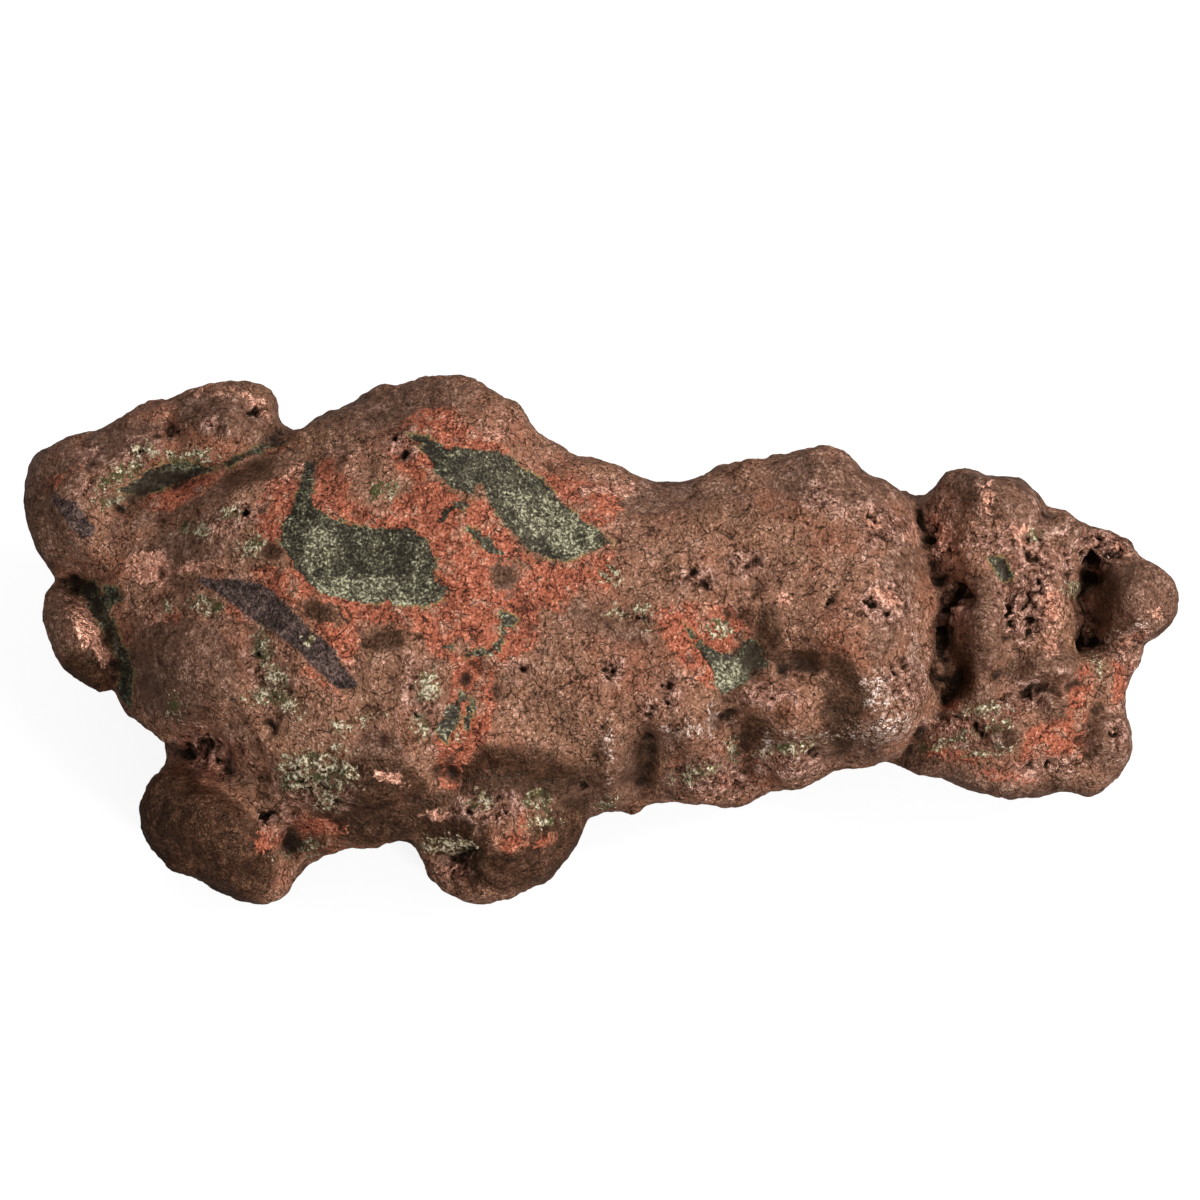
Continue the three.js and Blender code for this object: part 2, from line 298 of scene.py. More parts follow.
BANKS = [  # line with its high side on the left, run, reach, height
    ([(-24, 18), (-28, 16.4), (-31, 15.1), (-34, 13.4), (-38, 11.9), (-43.5, 10.4)], 0.8, 3.0, 1.6),
    ([(12.6, 5), (13.2, 1.2), (14.8, -1), (18, -1.2), (20.6, -2), (22.8, -4)], 1.3, 3.2, 2.3),
    ([(10.6, -3.8), (11.8, -6.2), (14.6, -7.8), (18, -8.2), (20.4, -9.4)], 0.9, 2.4, 1.8),
    ([(26, -10.4), (28.5, -7), (29.4, -4.4), (29.2, -1), (29.7, 3), (28.1, 7), (27, 13)], 0.6, 3, 1.4),
    ([(-12.4, -2.2), (-9.6, -1.5), (-8.4, -3.2), (-7.8, -6)], 0.4, 1.6, 1.0),
    ([(-15, -10.2), (-9, -10.4), (-4, -11.3), (1, -10.2)], 1.9, 3.2, 1.5),
    ([(-42.4, 6), (-41, 1), (-40.6, -3), (-39, -8)], 1.0, 3.2, -1.2),
    ([(3.8, 3), (6.4, -0.6), (9.4, -4.2), (10.6, -7.4)], 0.8, 2.4, -0.7),
]

places, normals = read_points(nugget)
lift = np.zeros(len(places))
loose = shaken(places, 0.35, 0.9)
for stroke, strokes in ((mound, MOUNDS), (valley, VALLEYS), (bank, BANKS)):
    for settings in strokes:
        lift += stroke(loose, *settings)
facing = ease(normals[:, 2], -0.15, 0.3)
push = 0.5 * normals + np.array([0, 0, 0.5])
ROUNDING_LOSS = 0.25  # mm, given back all over
write_points(nugget, places + push * (lift * facing)[:, None] + ROUNDING_LOSS * normals)
print("strokes on the face:", len(MOUNDS) + len(VALLEYS) + len(BANKS))

# %% [markdown]
# ## The outline
#
# The eye knows a nugget by its outline first. So after the broad strokes the turning edge of the
# clay is drawn to one line of (u, v) points, all the way round. Points whose normal lies in the
# face's plane go the whole way to the line, and points that look out of the face or away from
# it hardly move, which keeps the edge round.

# %% Draw the edge to the outline
OUTLINE = [
    (-50, 13.5), (-49.5, 15), (-48.5, 16.2), (-46.5, 17.2), (-43, 18.3), (-41, 19.3), (-39.5, 20.2),
    (-36.5, 20.8), (-35, 21.5), (-33, 22.1), (-31, 22.3), (-29.5, 22), (-28.3, 20.8), (-27.7, 18.7),
    (-27, 18.05), (-26, 18.3), (-23.5, 19.6), (-21.4, 20.3), (-19, 21.8), (-17, 22.1), (-15, 22.6),
    (-12.5, 22.9), (-10.8, 22.7), (-9.2, 21.4), (-7, 19.9), (-5.7, 17.9), (-3.5, 16.9),
    (-2.3, 15.8), (0, 15.4), (1.5, 14.8), (3.5, 13.9), (5.5, 13.4), (7.5, 13.6), (9.5, 14.2),
    (11, 14.9), (13.5, 15.4), (16, 15.9), (19, 16.5), (21, 16.1), (22.3, 15.2), (23.3, 14.1),
    (25, 13.6), (26.4, 12.6), (27.3, 12.1), (28.2, 12.2), (29, 12.9), (29.8, 14.4), (31.5, 14.8),
    (33, 14.4), (35, 14.2), (36.3, 13.8), (37.5, 12.6), (38.8, 10.8), (39.5, 11.1), (40.5, 11),
    (41.5, 10.2), (43, 9.7), (44.5, 9.4), (46, 8.5), (46.8, 7.2), (48, 6.8), (49.3, 5.5),
    (49.9, 3.8), (50, 2.6), (49.6, 1.5), (48.3, 0.6), (47, -0.2), (46.6, -1.5), (46, -3),
    (45.4, -4.5), (45.5, -6.5), (46, -8.5), (45.9, -10), (45, -11.5), (43.5, -12.7), (42, -13.3),
    (40.3, -13), (39, -13.3), (37, -13.8), (35.5, -13.7), (33, -13), (31, -12.3), (29, -11.6),
    (27, -11.5), (24.5, -10.5), (23, -10.9), (21, -11.1), (19.8, -11.4), (18.8, -12.3),
    (17, -12.9), (14.7, -13), (12.5, -14), (10.5, -14.2), (9.2, -13.9), (7, -13.8), (6, -13.6),
    (4.5, -14.1), (3.5, -14.9), (2.5, -15.1), (1.7, -14.5), (0.5, -14.8), (-1, -15.3),
    (-1.8, -16.8), (-3, -19), (-4.5, -20.8), (-6.5, -22), (-9, -22.6), (-11.5, -22.6),
    (-13.5, -21.8), (-14.7, -20.5), (-15.1, -18.8), (-16.2, -17.4), (-18, -17.1), (-20, -17.6),
    (-21.5, -17.7), (-23.5, -18.6), (-25.7, -19.8), (-26.4, -21), (-27.3, -22.1), (-29, -22.7),
    (-31.5, -22.4), (-34, -21.2), (-37, -19.8), (-38.7, -18.2), (-39.6, -16), (-39.6, -14.2),
    (-39, -12.5), (-37.4, -10.8), (-37.3, -9.5), (-38, -8.3), (-40, -6.8), (-41.3, -5.5),
    (-42, -4.3), (-43.5, -4.3), (-45, -3.5), (-46.4, -2.2), (-47.2, -0.3), (-47.9, 1.6),
    (-47.8, 3.8), (-47.1, 5.2), (-47.6, 6.3), (-48.6, 7.8), (-49.4, 9.8), (-49.9, 11.8),
]
EDGE_DRAW = 2.2  # mm: points further inside the outline than this stay where they are

places, normals = read_points(nugget)
steps, distance, _, _ = nearest_on_line(places, OUTLINE + OUTLINE[:1])
turning = ease(-np.abs(normals[:, 2]), -0.75, -0.15)
outside = inside_outline(places, OUTLINE) < 0
near = np.where(outside, 1.0, turning * ease(-distance, -EDGE_DRAW, -0.4 * EDGE_DRAW))
places[:, :2] += steps * near[:, None]
write_points(nugget, places)
print("points drawn to the outline:", int((near > 0.5).sum()))

# %% [markdown]
# ## Where the skin changes
#
# The skin isn't the same all over. Dark rock is set in the copper, red cuprite lies round it,
# pale crust clings in places, and broken "hackly" copper shows where the worn skin has opened.
# The patina itself is rubbed smooth on the lumps, thick and dark in the hollows, and polished on
# a few high spots. The dark patches also carry painted shade on the undersides and on slopes
# turned from the light, and the polished spots carry a pale painted highlight. Each kind has a
# list of outlines or ovals on the face, and four of them have balls sunk into the hidden sides
# too. All of a kind make one number at each point: how far inside the nearest patch it is, in
# mm. Sculpting and painting both read that number, so that relief and colour agree.

# %% Patches on the face: rock and cuprite
ROCK_OUTLINES = [
    [(-25.2, 15.4), (-25.7, 13.6), (-26.4, 11.4), (-27.3, 9.7), (-27.4, 8.4), (-26, 6.2), (-25, 4.9),
     (-23.4, 4), (-20.5, 3.2), (-18.5, 3.3), (-15, 2.9), (-13.6, 3.5), (-12.4, 4.5), (-14.2, 5.1),
     (-14, 6.9), (-15.1, 8.8), (-16.6, 9.7), (-20, 9.6), (-23, 10.4), (-24.5, 11.5), (-24.8, 13.4),
     (-24.3, 15.4)],
    [(-16.6, 17.7), (-14.6, 17.4), (-13.5, 16.6), (-8.8, 16.3), (-7.6, 15.6), (-6.6, 14.6),
     (-5, 13.9), (-3.2, 11.8), (-1.4, 10.2), (1.2, 8.3), (-1.3, 7.5), (-2.5, 6.9), (-4, 6.9),
     (-6.4, 7.9), (-8.3, 10.2), (-9.4, 11.6), (-9.8, 12.9), (-10.6, 13.7), (-10.9, 12.4),
     (-12.2, 12.7), (-13.5, 13.8), (-14.7, 15.4), (-15.4, 16.6)],
    [(-11.6, 9.6), (-10.6, 9.6), (-8.2, 7.4), (-9.4, 7.3)],
    [(-14, 10.2), (-13.3, 10.2), (-12.7, 11), (-11, 11.6), (-11.2, 12.1), (-12.8, 11.7), (-13.8, 11.2)],
    [(-8.5, 2.4), (-6.9, 1.9), (-7.9, 0.8), (-8.7, -0.9), (-11.6, -1.6), (-11.6, -1.2), (-9.4, -0.7),
     (-8.4, 0.4)],
    [(-13.6, -0.4), (-12.6, -0.4), (-12.6, -0.9), (-13.4, -0.8)],
    [(-11.5, -4.2), (-12.1, -6.9), (-13.1, -8.8), (-13.9, -8.2), (-13.9, -7.3), (-13.2, -6.2)],
    [(-10.8, -4.9), (-10.9, -6.5), (-11.3, -7.8), (-11.7, -7.2), (-11.3, -5.6)],
    [(7, 1.6), (8.9, -0.3), (10.2, -1), (11.7, -1.2), (12.6, 0.1), (13.4, -0.3), (14.9, -2.3),
     (13.2, -2.6), (11.8, -4.1), (10.4, -4.6), (9.8, -3.2), (8.2, -0.3)],
    [(-41.8, 12.8), (-40, 13.8), (-37.6, 15.3), (-35.4, 15.4), (-33, 14.7), (-34.6, 14.1),
     (-37, 13.3), (-39, 12.6)],
    [(-32.4, 15.2), (-30, 16.5), (-26.6, 17.4), (-27, 17), (-30, 16), (-32, 14.9)],
    [(-45.3, 4.8), (-43.6, 5.2), (-42.5, 3), (-41.3, 0), (-40.3, -2.5), (-40.6, -6), (-41.6, -5),
     (-41.6, -2), (-42.6, 0.4), (-44, 2.6)],
    [(-42.8, 4.6), (-41.6, 4.6), (-41.2, 3.6), (-42.2, 3), (-43, 3.4)],
    [(33.4, 7.1), (34.8, 7.2), (35.6, 5.4), (34.8, 5)],
]
PURPLE_OUTLINES = [
    [(-34.4, 5.2), (-31, 5), (-29, 4.7), (-27, 3.1), (-25, 0.7), (-23.3, -0.3), (-22.5, -1.8),
     (-20.9, -4), (-22.3, -4.1), (-25, -1.5), (-26.5, -0.1), (-29.5, 1.9), (-32, 3.7)],
    [(-47, 12.2), (-45.4, 11.8), (-43.4, 9.3), (-44.6, 8.9), (-46.2, 10.8)],
]
RED_OUTLINES = [
    [(-24.3, 15.6), (-23, 15.9), (-22.6, 14.4), (-21.4, 13.4), (-22, 12), (-20.5, 11.3),
     (-18.2, 11.6), (-15.6, 13.5), (-13.4, 13.8), (-11.4, 12.2), (-9.4, 11.8), (-8, 9.8),
     (-6.2, 7.6), (-4, 6.4), (1, 7.8), (1.8, 6), (0.3, 4.4), (-2.6, 4.4), (-3.1, 2.3), (-5.6, 3),
     (-5.2, 0), (-5.8, -1), (-8.4, -2), (-9, -4), (-8.9, -6), (-9.9, -8.6), (-11.9, -10.6),
     (-12.3, -12.9), (-14, -12.3), (-14.2, -8.2), (-12.9, -5), (-12.7, -2), (-14.4, -1.5),
     (-15.8, 1.2), (-18.6, 1.4), (-20.8, 1), (-20.6, -0.6), (-21.3, -2.4), (-22.6, -1.5),
     (-25.4, 2), (-27.2, 3.2), (-30.2, 5.6), (-30, 6.4), (-28.3, 6.5), (-26.6, 6), (-27.2, 8),
     (-28.6, 7.4), (-29.6, 8.6), (-29.9, 11.4), (-28.4, 13.7), (-26.2, 14.4), (-25, 12)],
    [(-17, 18.6), (-15.2, 19.8), (-13, 20), (-11.4, 18.4), (-8.8, 17.4), (-7.6, 16), (-12, 16),
     (-15.6, 13.2), (-17.2, 14.4), (-18.4, 16.4), (-16.8, 17)],
    [(-5.6, 14.6), (-4, 14), (1.6, 13.4), (2, 11.6), (0.6, 9.6), (-1.6, 10)],
    [(4.6, 2.4), (7.2, 3.3), (10.8, 3), (12.9, 1.6), (13.2, -0.2), (11, -1), (9.6, -4.4), (8.6, -3.6),
     (6.2, -1), (5, 1)],
    [(-40, 11.3), (-38, 13.4), (-35.5, 14.4), (-32.8, 14.2), (-34.2, 12.4), (-37.4, 11.2)],
    [(-29.8, 16), (-27, 16.8), (-25, 17.3), (-25.2, 16.7), (-28, 16.2)],
    [(36, -10.8), (37, -7.4), (40, -6.6), (41, -2.6), (42.2, -1.6), (42.6, -4), (42, -7.4),
     (42, -10.6), (39, -10)],
    [(30, -6.6), (32.4, -6.4), (32.4, -7.6), (30.4, -7.8)],
    [(27.2, -9), (29.6, -9.2), (30.6, -10.2), (28, -10)],
    [(44.2, -1.8), (46, -1.2), (45.6, -4), (44.4, -6)],
]
RED_OVALS = [  # u, v, long, short, turn
    (-7.3, -17.2, 1.2, 0.8, 20), (-4.8, -17.3, 0.9, 0.5, 25), (-6.6, -15.4, 0.5, 1, 0),
    (6.6, -10.6, 0.8, 0.6, 20), (10.6, -12.2, 0.9, 0.5, 0), (-34.9, -9.4, 1.4, 0.9, -40),
    (-33, -11, 1, 0.8, -40), (-46.6, 13.8, 1.5, 0.4, 30), (-21.6, -13, 0.9, 0.4, 10),
    (-24.5, -15.9, 2.4, 0.7, -10), (-28.6, -17, 1.6, 1.1, 30), (31.5, -10.2, 1.8, 0.5, -10),
    (35.6, -6.4, 1.3, 0.5, 30), (30, -5.7, 0.8, 0.4, 0), (-36.8, 2.1, 0.8, 0.5, 0),
    (34.5, -11.6, 2, 0.4, -8), (-31.4, 2.4, 1.4, 0.5, -30), (-23.8, -3.6, 2, 0.5, -35),
]
BROWN_ISLANDS = [  # worn skin that is left inside the red
    (-8.2, 5.5, 1.35, 1.25, 0), (-6.5, 6.4, 0.5, 0.3, -40), (-23.9, 2.4, 1.7, 0.9, -20),
    (-11.9, -0.6, 0.9, 0.7, 0), (-28, 7.6, 1.1, 0.8, 0), (-18.4, 0.1, 2.2, 0.8, 10),
]

# %% Patches on the face: crust, bright and broken copper, smooth worn skin
CRUST_OVALS = [
    (-39.3, 16.3, 0.9, 0.7, 0), (-41.3, 14.2, 2, 0.6, 30), (-35.6, 15.9, 1.9, 0.6, 0),
    (-33.8, 2.9, 1.4, 0.7, 0), (-34, 9.2, 0.6, 0.5, 0), (-31.8, 11, 0.8, 0.6, 0),
    (-35.6, 9.9, 1, 0.4, 0), (-29.8, 8, 1.2, 1, 0), (-28.8, -0.8, 0.8, 1.6, 10),
    (-27.9, -3.4, 1, 1.5, 20), (-27, -5.4, 1.5, 0.7, -20), (-28.9, -4.9, 1.2, 0.5, 10),
    (-22, -7.3, 1.1, 0.5, 20), (-19.7, -6.4, 1, 0.4, 10), (-14.7, -4, 1.0, 1.2, 0),
    (-15.4, -7.3, 0.7, 1, 0), (-24.2, -11.3, 3.2, 1.6, -8), (-26.2, -12, 1.2, 1.1, 0),
    (-22.7, -9.1, 0.8, 0.4, 0), (-23.3, -13.8, 1.1, 0.7, 0), (-5.2, -13.8, 1.1, 0.9, -20),
    (-5.2, -15.5, 1.1, 0.5, 0), (-10.2, -13.7, 0.9, 0.6, 0), (1.5, 2.3, 0.9, 0.35, -10),
    (3.5, 2.7, 0.6, 0.45, 0), (4.1, 1.5, 0.4, 0.3, 0), (37.4, 9, 0.6, 0.5, 0),
    (43.2, -2.2, 0.4, 0.8, 20), (33, -6, 1.6, 0.5, 15), (33.8, -7.6, 1.4, 0.35, 25),
    (30.3, -8.6, 1.6, 0.35, 20), (32.8, -9.7, 1.2, 0.3, 10), (16.8, -9.3, 1.9, 0.5, 15),
    (-12.2, -8.2, 0.3, 0.25, 0), (-25.6, -17.9, 1.7, 0.6, 15), (-13, -17.7, 2.2, 0.7, 0),
    (0.9, 5.6, 0.8, 0.6, 0), (-18.5, 12.9, 1, 0.7, 0), (0.5, -14.2, 0.9, 0.4, 30),
    (8.2, -11.4, 1.6, 0.6, 20), (11.4, -9.2, 0.5, 1, 0), (-42.2, 11.9, 1, 0.5, 0),
    (41, 4.4, 0.9, 0.7, 0), (-25, 0.1, 0.5, 0.3, 0), (-36.6, -5.8, 0.4, 0.9, 10),
    (-45.4, 4.6, 0.6, 0.4, 0), (-37.2, 2.6, 0.35, 0.6, 0), (10.4, 1, 0.8, 0.8, 0),
]
BRIGHT_OVALS = [
    (-38.7, 6.3, 1.7, 1.5, 0), (-34.8, 6.3, 1.4, 0.4, 10), (-38.1, 2.1, 0.9, 0.6, 20),
    (-42.2, 2.3, 0.8, 0.7, 0), (-44.3, 1.2, 0.9, 2.8, 28), (-42.9, -1.4, 0.5, 0.9, 30),
    (-33, 21.5, 1.4, 0.2, 0), (-30.4, 20.9, 1.2, 0.2, -35), (-28.9, 19.6, 0.3, 0.7, 30),
    (-9, 17.8, 0.85, 0.7, 0), (-34.9, -10.4, 1, 0.5, -20), (-33, -11, 0.8, 0.6, -40),
    (15.7, 3.5, 0.6, 0.5, 0), (-27.6, -16.4, 0.8, 0.4, 30), (39, 3, 0.9, 1.4, 10),
    (38.9, -0.3, 0.8, 0.8, 0), (36.5, 9, 1.2, 0.8, 0), (33.3, 12.3, 0.45, 1.1, 0),
    (28.4, 10.5, 1.1, 0.5, 0), (-24, -12.6, 0.7, 0.4, 0), (-18, -11.8, 0.9, 0.5, -20),
    (23.5, 10, 0.8, 0.5, -30), (48, 2.2, 0.5, 0.4, 0), (-26.3, 14.4, 1, 0.4, 40),
    (1.2, 13, 1.5, 0.35, 0), (-12.6, -19.9, 0.9, 0.6, 0), (-21.4, -2.2, 0.6, 0.5, 0),
    (24.6, 3.7, 1.1, 0.6, -20), (27, 9.2, 0.7, 0.9, 0), (29.6, 8.8, 0.7, 1.3, 10),
    (44.9, 8, 0.9, 0.4, -40), (45.9, 0, 1.2, 0.35, 25), (-14, -15.1, 0.7, 0.3, 0),
]
HACKLY_OVALS = [
    (36.8, 4.6, 2.7, 5.2, -8), (34, 8.6, 3, 1.2, 0), (40.2, 7, 1, 2.6, 0),
    (29.4, 9, 1.3, 2.8, 0), (33.3, 12, 0.7, 1.7, 0),
    (38, 11.4, 0.5, 1.5, 20), (24, 9.8, 2.4, 1.7, -35), (23.2, 8.4, 0.8, 1.4, 0),
    (19.2, 12, 1.7, 1.2, -30), (24.6, 3.2, 2.6, 2, -20), (26.4, -3.4, 1.8, 2.2, 0),
    (8.6, 5.2, 1.9, 1.1, 0), (0.4, 13.1, 2.2, 0.5, 0), (-9.4, 18, 1.2, 0.6, -20),
    (-33.5, 18.6, 0.9, 0.4, 0), (-29.5, 20, 0.4, 1.2, 35),
    (-9.4, -14.4, 3.4, 1.2, 0), (-12.6, -19.6, 1.5, 1.0, 0), (9.5, -11.6, 3.4, 1.7, 0),
    (16.5, -10.4, 2.8, 1.5, 12), (38.6, -11, 4, 0.8, 4), (44.9, -8, 0.9, 2, 0),
    (31.5, -7.8, 2.6, 1.5, -20), (43.2, 8, 2.4, 1.7, 0), (-44, 16, 1.0, 0.8, 0),
    (-39.5, 16.6, 1.9, 1.2, 15), (-34.2, -9.4, 2.1, 1.6, -30), (-27.8, -15.4, 1.6, 0.9, 0),
    (3, 2.2, 1.6, 0.4, -15), (-28, -3.5, 1.6, 3.6, 25), (-31.5, 10.4, 2.6, 1.2, 20),
    (-15.3, -5, 1.4, 3.2, 10), (46.4, 0, 1.5, 0.6, 25), (46, -2.6, 0.9, 1.7, 10),
    (-24.4, -12.4, 3.6, 2.2, -8), (30.6, 2.4, 1.2, 2, 0), (-17, 17, 1.4, 1.6, 0),
    (12.5, 6.6, 1.8, 1.2, 0), (-6.8, -2.6, 1.2, 0.8, 0), (1, -2.6, 1, 1, 0), (4, -6, 0.9, 0.9, 0),
    (36.5, -5, 4, 1.2, 28), (14, -4.6, 2.2, 1, 0), (-43.6, 13, 1.8, 1, 20), (6, -4.4, 1, 1.5, 0),
]
SMOOTH_OVALS = [  # skin that was rubbed smooth
    (-47.5, 11.5, 3.4, 6, -10), (-42, 16.6, 4, 2, 25), (-32, 19.4, 4.4, 2, -10), (-35, 8, 5, 1.6, 5),
    (-36, 11.8, 6, 0.9, 20), (-17, 20.4, 8, 1.6, 12), (5, 12.4, 7, 1.4, 5), (20, 13.6, 6, 2.2, -8),
    (-36, -2.6, 5, 4.6, 0), (-45.2, 0.4, 1.6, 4, 25), (46.6, 3, 3.6, 3.8, 0),
    (34.4, 12.6, 4.4, 2.4, -12),
    (40.6, 9.2, 1.8, 1.4, -30), (45.2, 7.8, 1.6, 1, -30), (33, 1, 1.9, 4.8, -5), (38.4, -2.4, 3.6, 1.8, 8),
    (44, -9, 2.2, 3, 0), (33.5, -12.4, 4.4, 1.3, -12), (27.6, -10.4, 3, 1.2, 5),
    (39, -12.8, 5, 0.9, 0), (35, -8.2, 1.5, 1.3, 0), (32.4, -4.8, 2.4, 0.8, 20),
    (37, 9.6, 1.2, 2, -40), (39.4, -6, 1.8, 1.1, -40), (25.5, 4.6, 1.6, 7, -15),
    (0.5, 1.4, 5, 1, -18), (8.6, -11.6, 3, 1.6, 5), (-19, -9.6, 2.4, 2, 0),
    (-8.2, 5.5, 1.8, 1.7, 0), (42, -12.4, 2, 0.8, 0),
    (2.4, -11.6, 1.6, 3, -5), (20, -9.4, 5, 1.6, 5), (-1.5, -14.5, 2.4, 4, -30),
]
SHADE_AND_DARK_PATINA_OVALS = [  # hollows and undersides painted dark: thick patina, and painted shade where they turn from the light
    (-34.5, -17.5, 7.2, 5, -33), (-36.5, -14, 3, 3, 0), (-20, -13.4, 5.5, 3.4, 0),
    (-19.5, -16, 4.5, 1.6, 0), (-14.4, -15.6, 1.6, 3, 20), (-8, -11.6, 6, 2.6, 0),
    (-4, -17.4, 2.2, 4.4, -30), (-11.4, -17.4, 2, 3.6, 10),
    (-8, -19.8, 4, 1.8, 0), (-44.5, -3, 2.4, 2, -30), (13.4, -8.4, 1.6, 2, 0), (20.6, -6.6, 1.7, 3.2, 10),
    (14.4, 0.6, 1.2, 2.6, 0), (16.6, -1.6, 3, 1, -8), (21, -3, 2.6, 1, -50), (-18.4, 0.1, 2.2, 0.9, 10),
    (-8.2, 5.5, 1.05, 0.95, 0), (-23.9, 2.4, 1.8, 1, -20), (-28, 7.6, 1.2, 0.9, 0), (4, -10.4, 1, 3, 0),
    (31.4, -2.6, 0.9, 3, 0), (43.8, 4.4, 0.8, 2.6, 0), (-30, 14.4, 2.6, 1, 20), (35, -8.4, 1.1, 0.9, 0),
]
POLISH_AND_HIGHLIGHT_OVALS = [  # high spots that were rubbed until they shine, and are painted pale as a painted highlight
    (24, -4.6, 1.8, 1.2, -60), (24.6, -7.6, 2.8, 1.1, 8), (27.2, -1.6, 0.6, 1.6, 10),
    (7.4, -7.6, 1.6, 0.6, 0), (0.7, -9.6, 0.35, 1.2, -4), (46, 0.8, 1.4, 0.4, 20),
    (14.2, -9.8, 0.3, 1.6, -15), (17.6, -8.5, 1.4, 0.3, 5),
    (9.6, -6.8, 0.4, 1, 0), (35.5, -5.2, 1.6, 0.3, 30),
]
PALE_STONE_OVALS = [  # where the rock is ground to a pale dust
    (-3.6, 9.8, 4.6, 2, -38), (-19.5, 4.4, 5.6, 1.5, -8), (-24.2, 7.4, 1.5, 2.6, 0),
    (-13.6, 4.4, 1.4, 1, 0), (-7.2, 12.2, 1.6, 0.9, -50), (11, -3, 2, 1.4, -20),
    (-36, 14.6, 1.6, 0.5, 15),
]

# %% One number a kind
HIDDEN_SHRINK = 4.0  # mm that a face patch shrinks by as its skin turns away from the face


def inside_patches(places, normals, outlines=(), ovals=()):
    best = np.full(len(places), -9.0)
    for outline in outlines:
        best = np.maximum(best, inside_outline(places, outline))
    for oval in ovals:
        best = np.maximum(best, inside_oval(places, *oval))
    return best - HIDDEN_SHRINK * np.clip(0.1 - normals[:, 2], 0, 1)


def inside_balls(places, normals, balls):
    """The same for the hidden sides: each ball is x, z and a radius in mm, and its middle lies in
    the rear skin at that x and z."""
    row = to_row(places)
    rear = (normals @ FACE_AXES.T)[:, 1] > 0.15
    best = np.full(len(places), -9.0)
    for x, z, radius in balls:
        gap = np.hypot(row[:, 0] - x, row[:, 2] - z) + np.where(rear, 0, 99)
        middle = row[np.argmin(gap)]
        best = np.maximum(best, radius - np.linalg.norm(row - middle, axis=1))
    return best


REAR_BALLS = {  # x, z, radius
    "rock": [(-14, 17, 2.6), (-11, 18.5, 2.2), (-8, 19.5, 1.6), (14, 14, 2), (16.5, 13, 1.5),
             (-36, 12, 1.6), (38, 10, 1.3), (3, 9, 1.5)],
    "red": [(-15, 16, 4.6), (-9, 19, 4.4), (-5, 16, 3), (15, 14, 4), (11, 11, 2.6), (-36, 12, 3.2),
            (37, 10, 3), (3, 8, 3), (-24, 9, 3.2), (26, 8, 2.2)],
    "crust": [(-20, 11, 1.8), (-3, 12, 1.3), (8, 15, 1.2), (22, 9, 1.8), (-30, 17, 1.2),
              (33, 6, 1.4), (-40, 8, 1.4), (-10, 7, 1.6)],
    "hackly": [(-26, 14, 3), (-18, 9, 2.6), (0, 15, 2.4), (7, 9, 3), (21, 13, 2.6), (31, 10, 3),
               (41, 9, 2.6), (-34, 7, 3), (-42, 12, 2), (-4, 6, 2.4)],
}


def read_kinds(places, normals):
    kinds = {
        "rock": inside_patches(places, normals, ROCK_OUTLINES),
        "purple": inside_patches(places, normals, PURPLE_OUTLINES),
        "red": inside_patches(places, normals, RED_OUTLINES, RED_OVALS),
        "crust": inside_patches(places, normals, ovals=CRUST_OVALS),
        "bright": inside_patches(places, normals, ovals=BRIGHT_OVALS),
        "hackly": inside_patches(places, normals, ovals=HACKLY_OVALS),
        "smooth": inside_patches(places, normals, ovals=SMOOTH_OVALS),
        "dark_patina_and_shade": inside_patches(places, normals, ovals=SHADE_AND_DARK_PATINA_OVALS),
        "polish_and_highlight": inside_patches(places, normals, ovals=POLISH_AND_HIGHLIGHT_OVALS),
        "pale_stone": inside_patches(places, normals, ovals=PALE_STONE_OVALS),
    }
    islands = inside_patches(places, normals, ovals=BROWN_ISLANDS)
    kinds["red"] = np.minimum(kinds["red"], -islands)
    for kind, balls in REAR_BALLS.items():
        kinds[kind] = np.maximum(kinds[kind], inside_balls(places, normals, balls))
    return kinds


# %% [markdown]
# ## Small relief
#
# The clay is now remeshed finer. A slow noise gives the skin its swells and a quicker one its
# dents, because a metal that was hammered by pebbles has no flat spot. The rock was worn flush,
# so the dents leave it alone. Broken copper stands up as crumbs with deep pores between them.
# Last come the pits: some have their place on the face, and many small ones are strewn all over.

# %% Swells, dents, crumbs and pits
FINE = 0.29 * MM
SWELL = 0.5  # mm
DENTS = 0.3  # mm
CRUMB_HEIGHT = 0.34  # mm
PORE_DEPTH = 0.6  # mm
remesh(nugget, FINE, 2)

PITS = [  # u, v, radius, depth
    (-33.8, -9, 0.6, 0.4), (-28.8, -15.2, 0.8, 1.0), (-26.4, -14.8, 0.6, 0.5), (-12.6, -19.6, 1.8, 2.4),
    (-1.7, -12.6, 0.5, 0.5), (0.8, -2.4, 0.35, 0.25), (4, -6.2, 0.4, 0.3),
    (-5.2, -1, 0.5, 0.25), (7.8, 5.5, 0.6, 0.6), (8.9, 5, 0.7, 0.7),
    (16.2, 10.6, 0.3, 0.35), (23.3, 3.3, 0.5, 0.7), (19.4, 3.4, 0.3, 0.4), (21.1, 2.8, 0.4, 0.4),
    (22.6, -1.3, 0.7, 0.4), (-33, 18.5, 0.8, 0.8), (-37, 18.5, 0.7, 0.5), (31.2, 3.9, 1.0, 1.4),
    (37, 1.2, 0.9, 0.45), (36.6, 2.8, 0.5, 0.4), (34.6, 6.2, 0.8, 0.4), (43, 7, 0.9, 0.9),
    (44.4, -7.9, 0.6, 0.9), (-42, 3.8, 0.9, 0.5),
    (-29.9, 19.7, 0.5, 1), (-28.2, -7.4, 0.9, 0.6), (-18.7, -8.6, 0.4, 0.4),
    (37.2, 7.6, 0.5, 0.5), (-20, -0.4, 0.5, 0.3), (-44, 15.6, 0.5, 0.4), (25, 4.1, 0.6, 0.4),
    (35.2, 2.4, 0.4, 0.5), (39.2, 1.6, 0.4, 0.4), (1.6, 8.6, 0.5, 0.3),
]
STREWN_PITS = 220
STREWN_RADIUS = (0.2, 0.6)  # mm
STREWN_DEPTH = 0.45  # of the pit's own radius
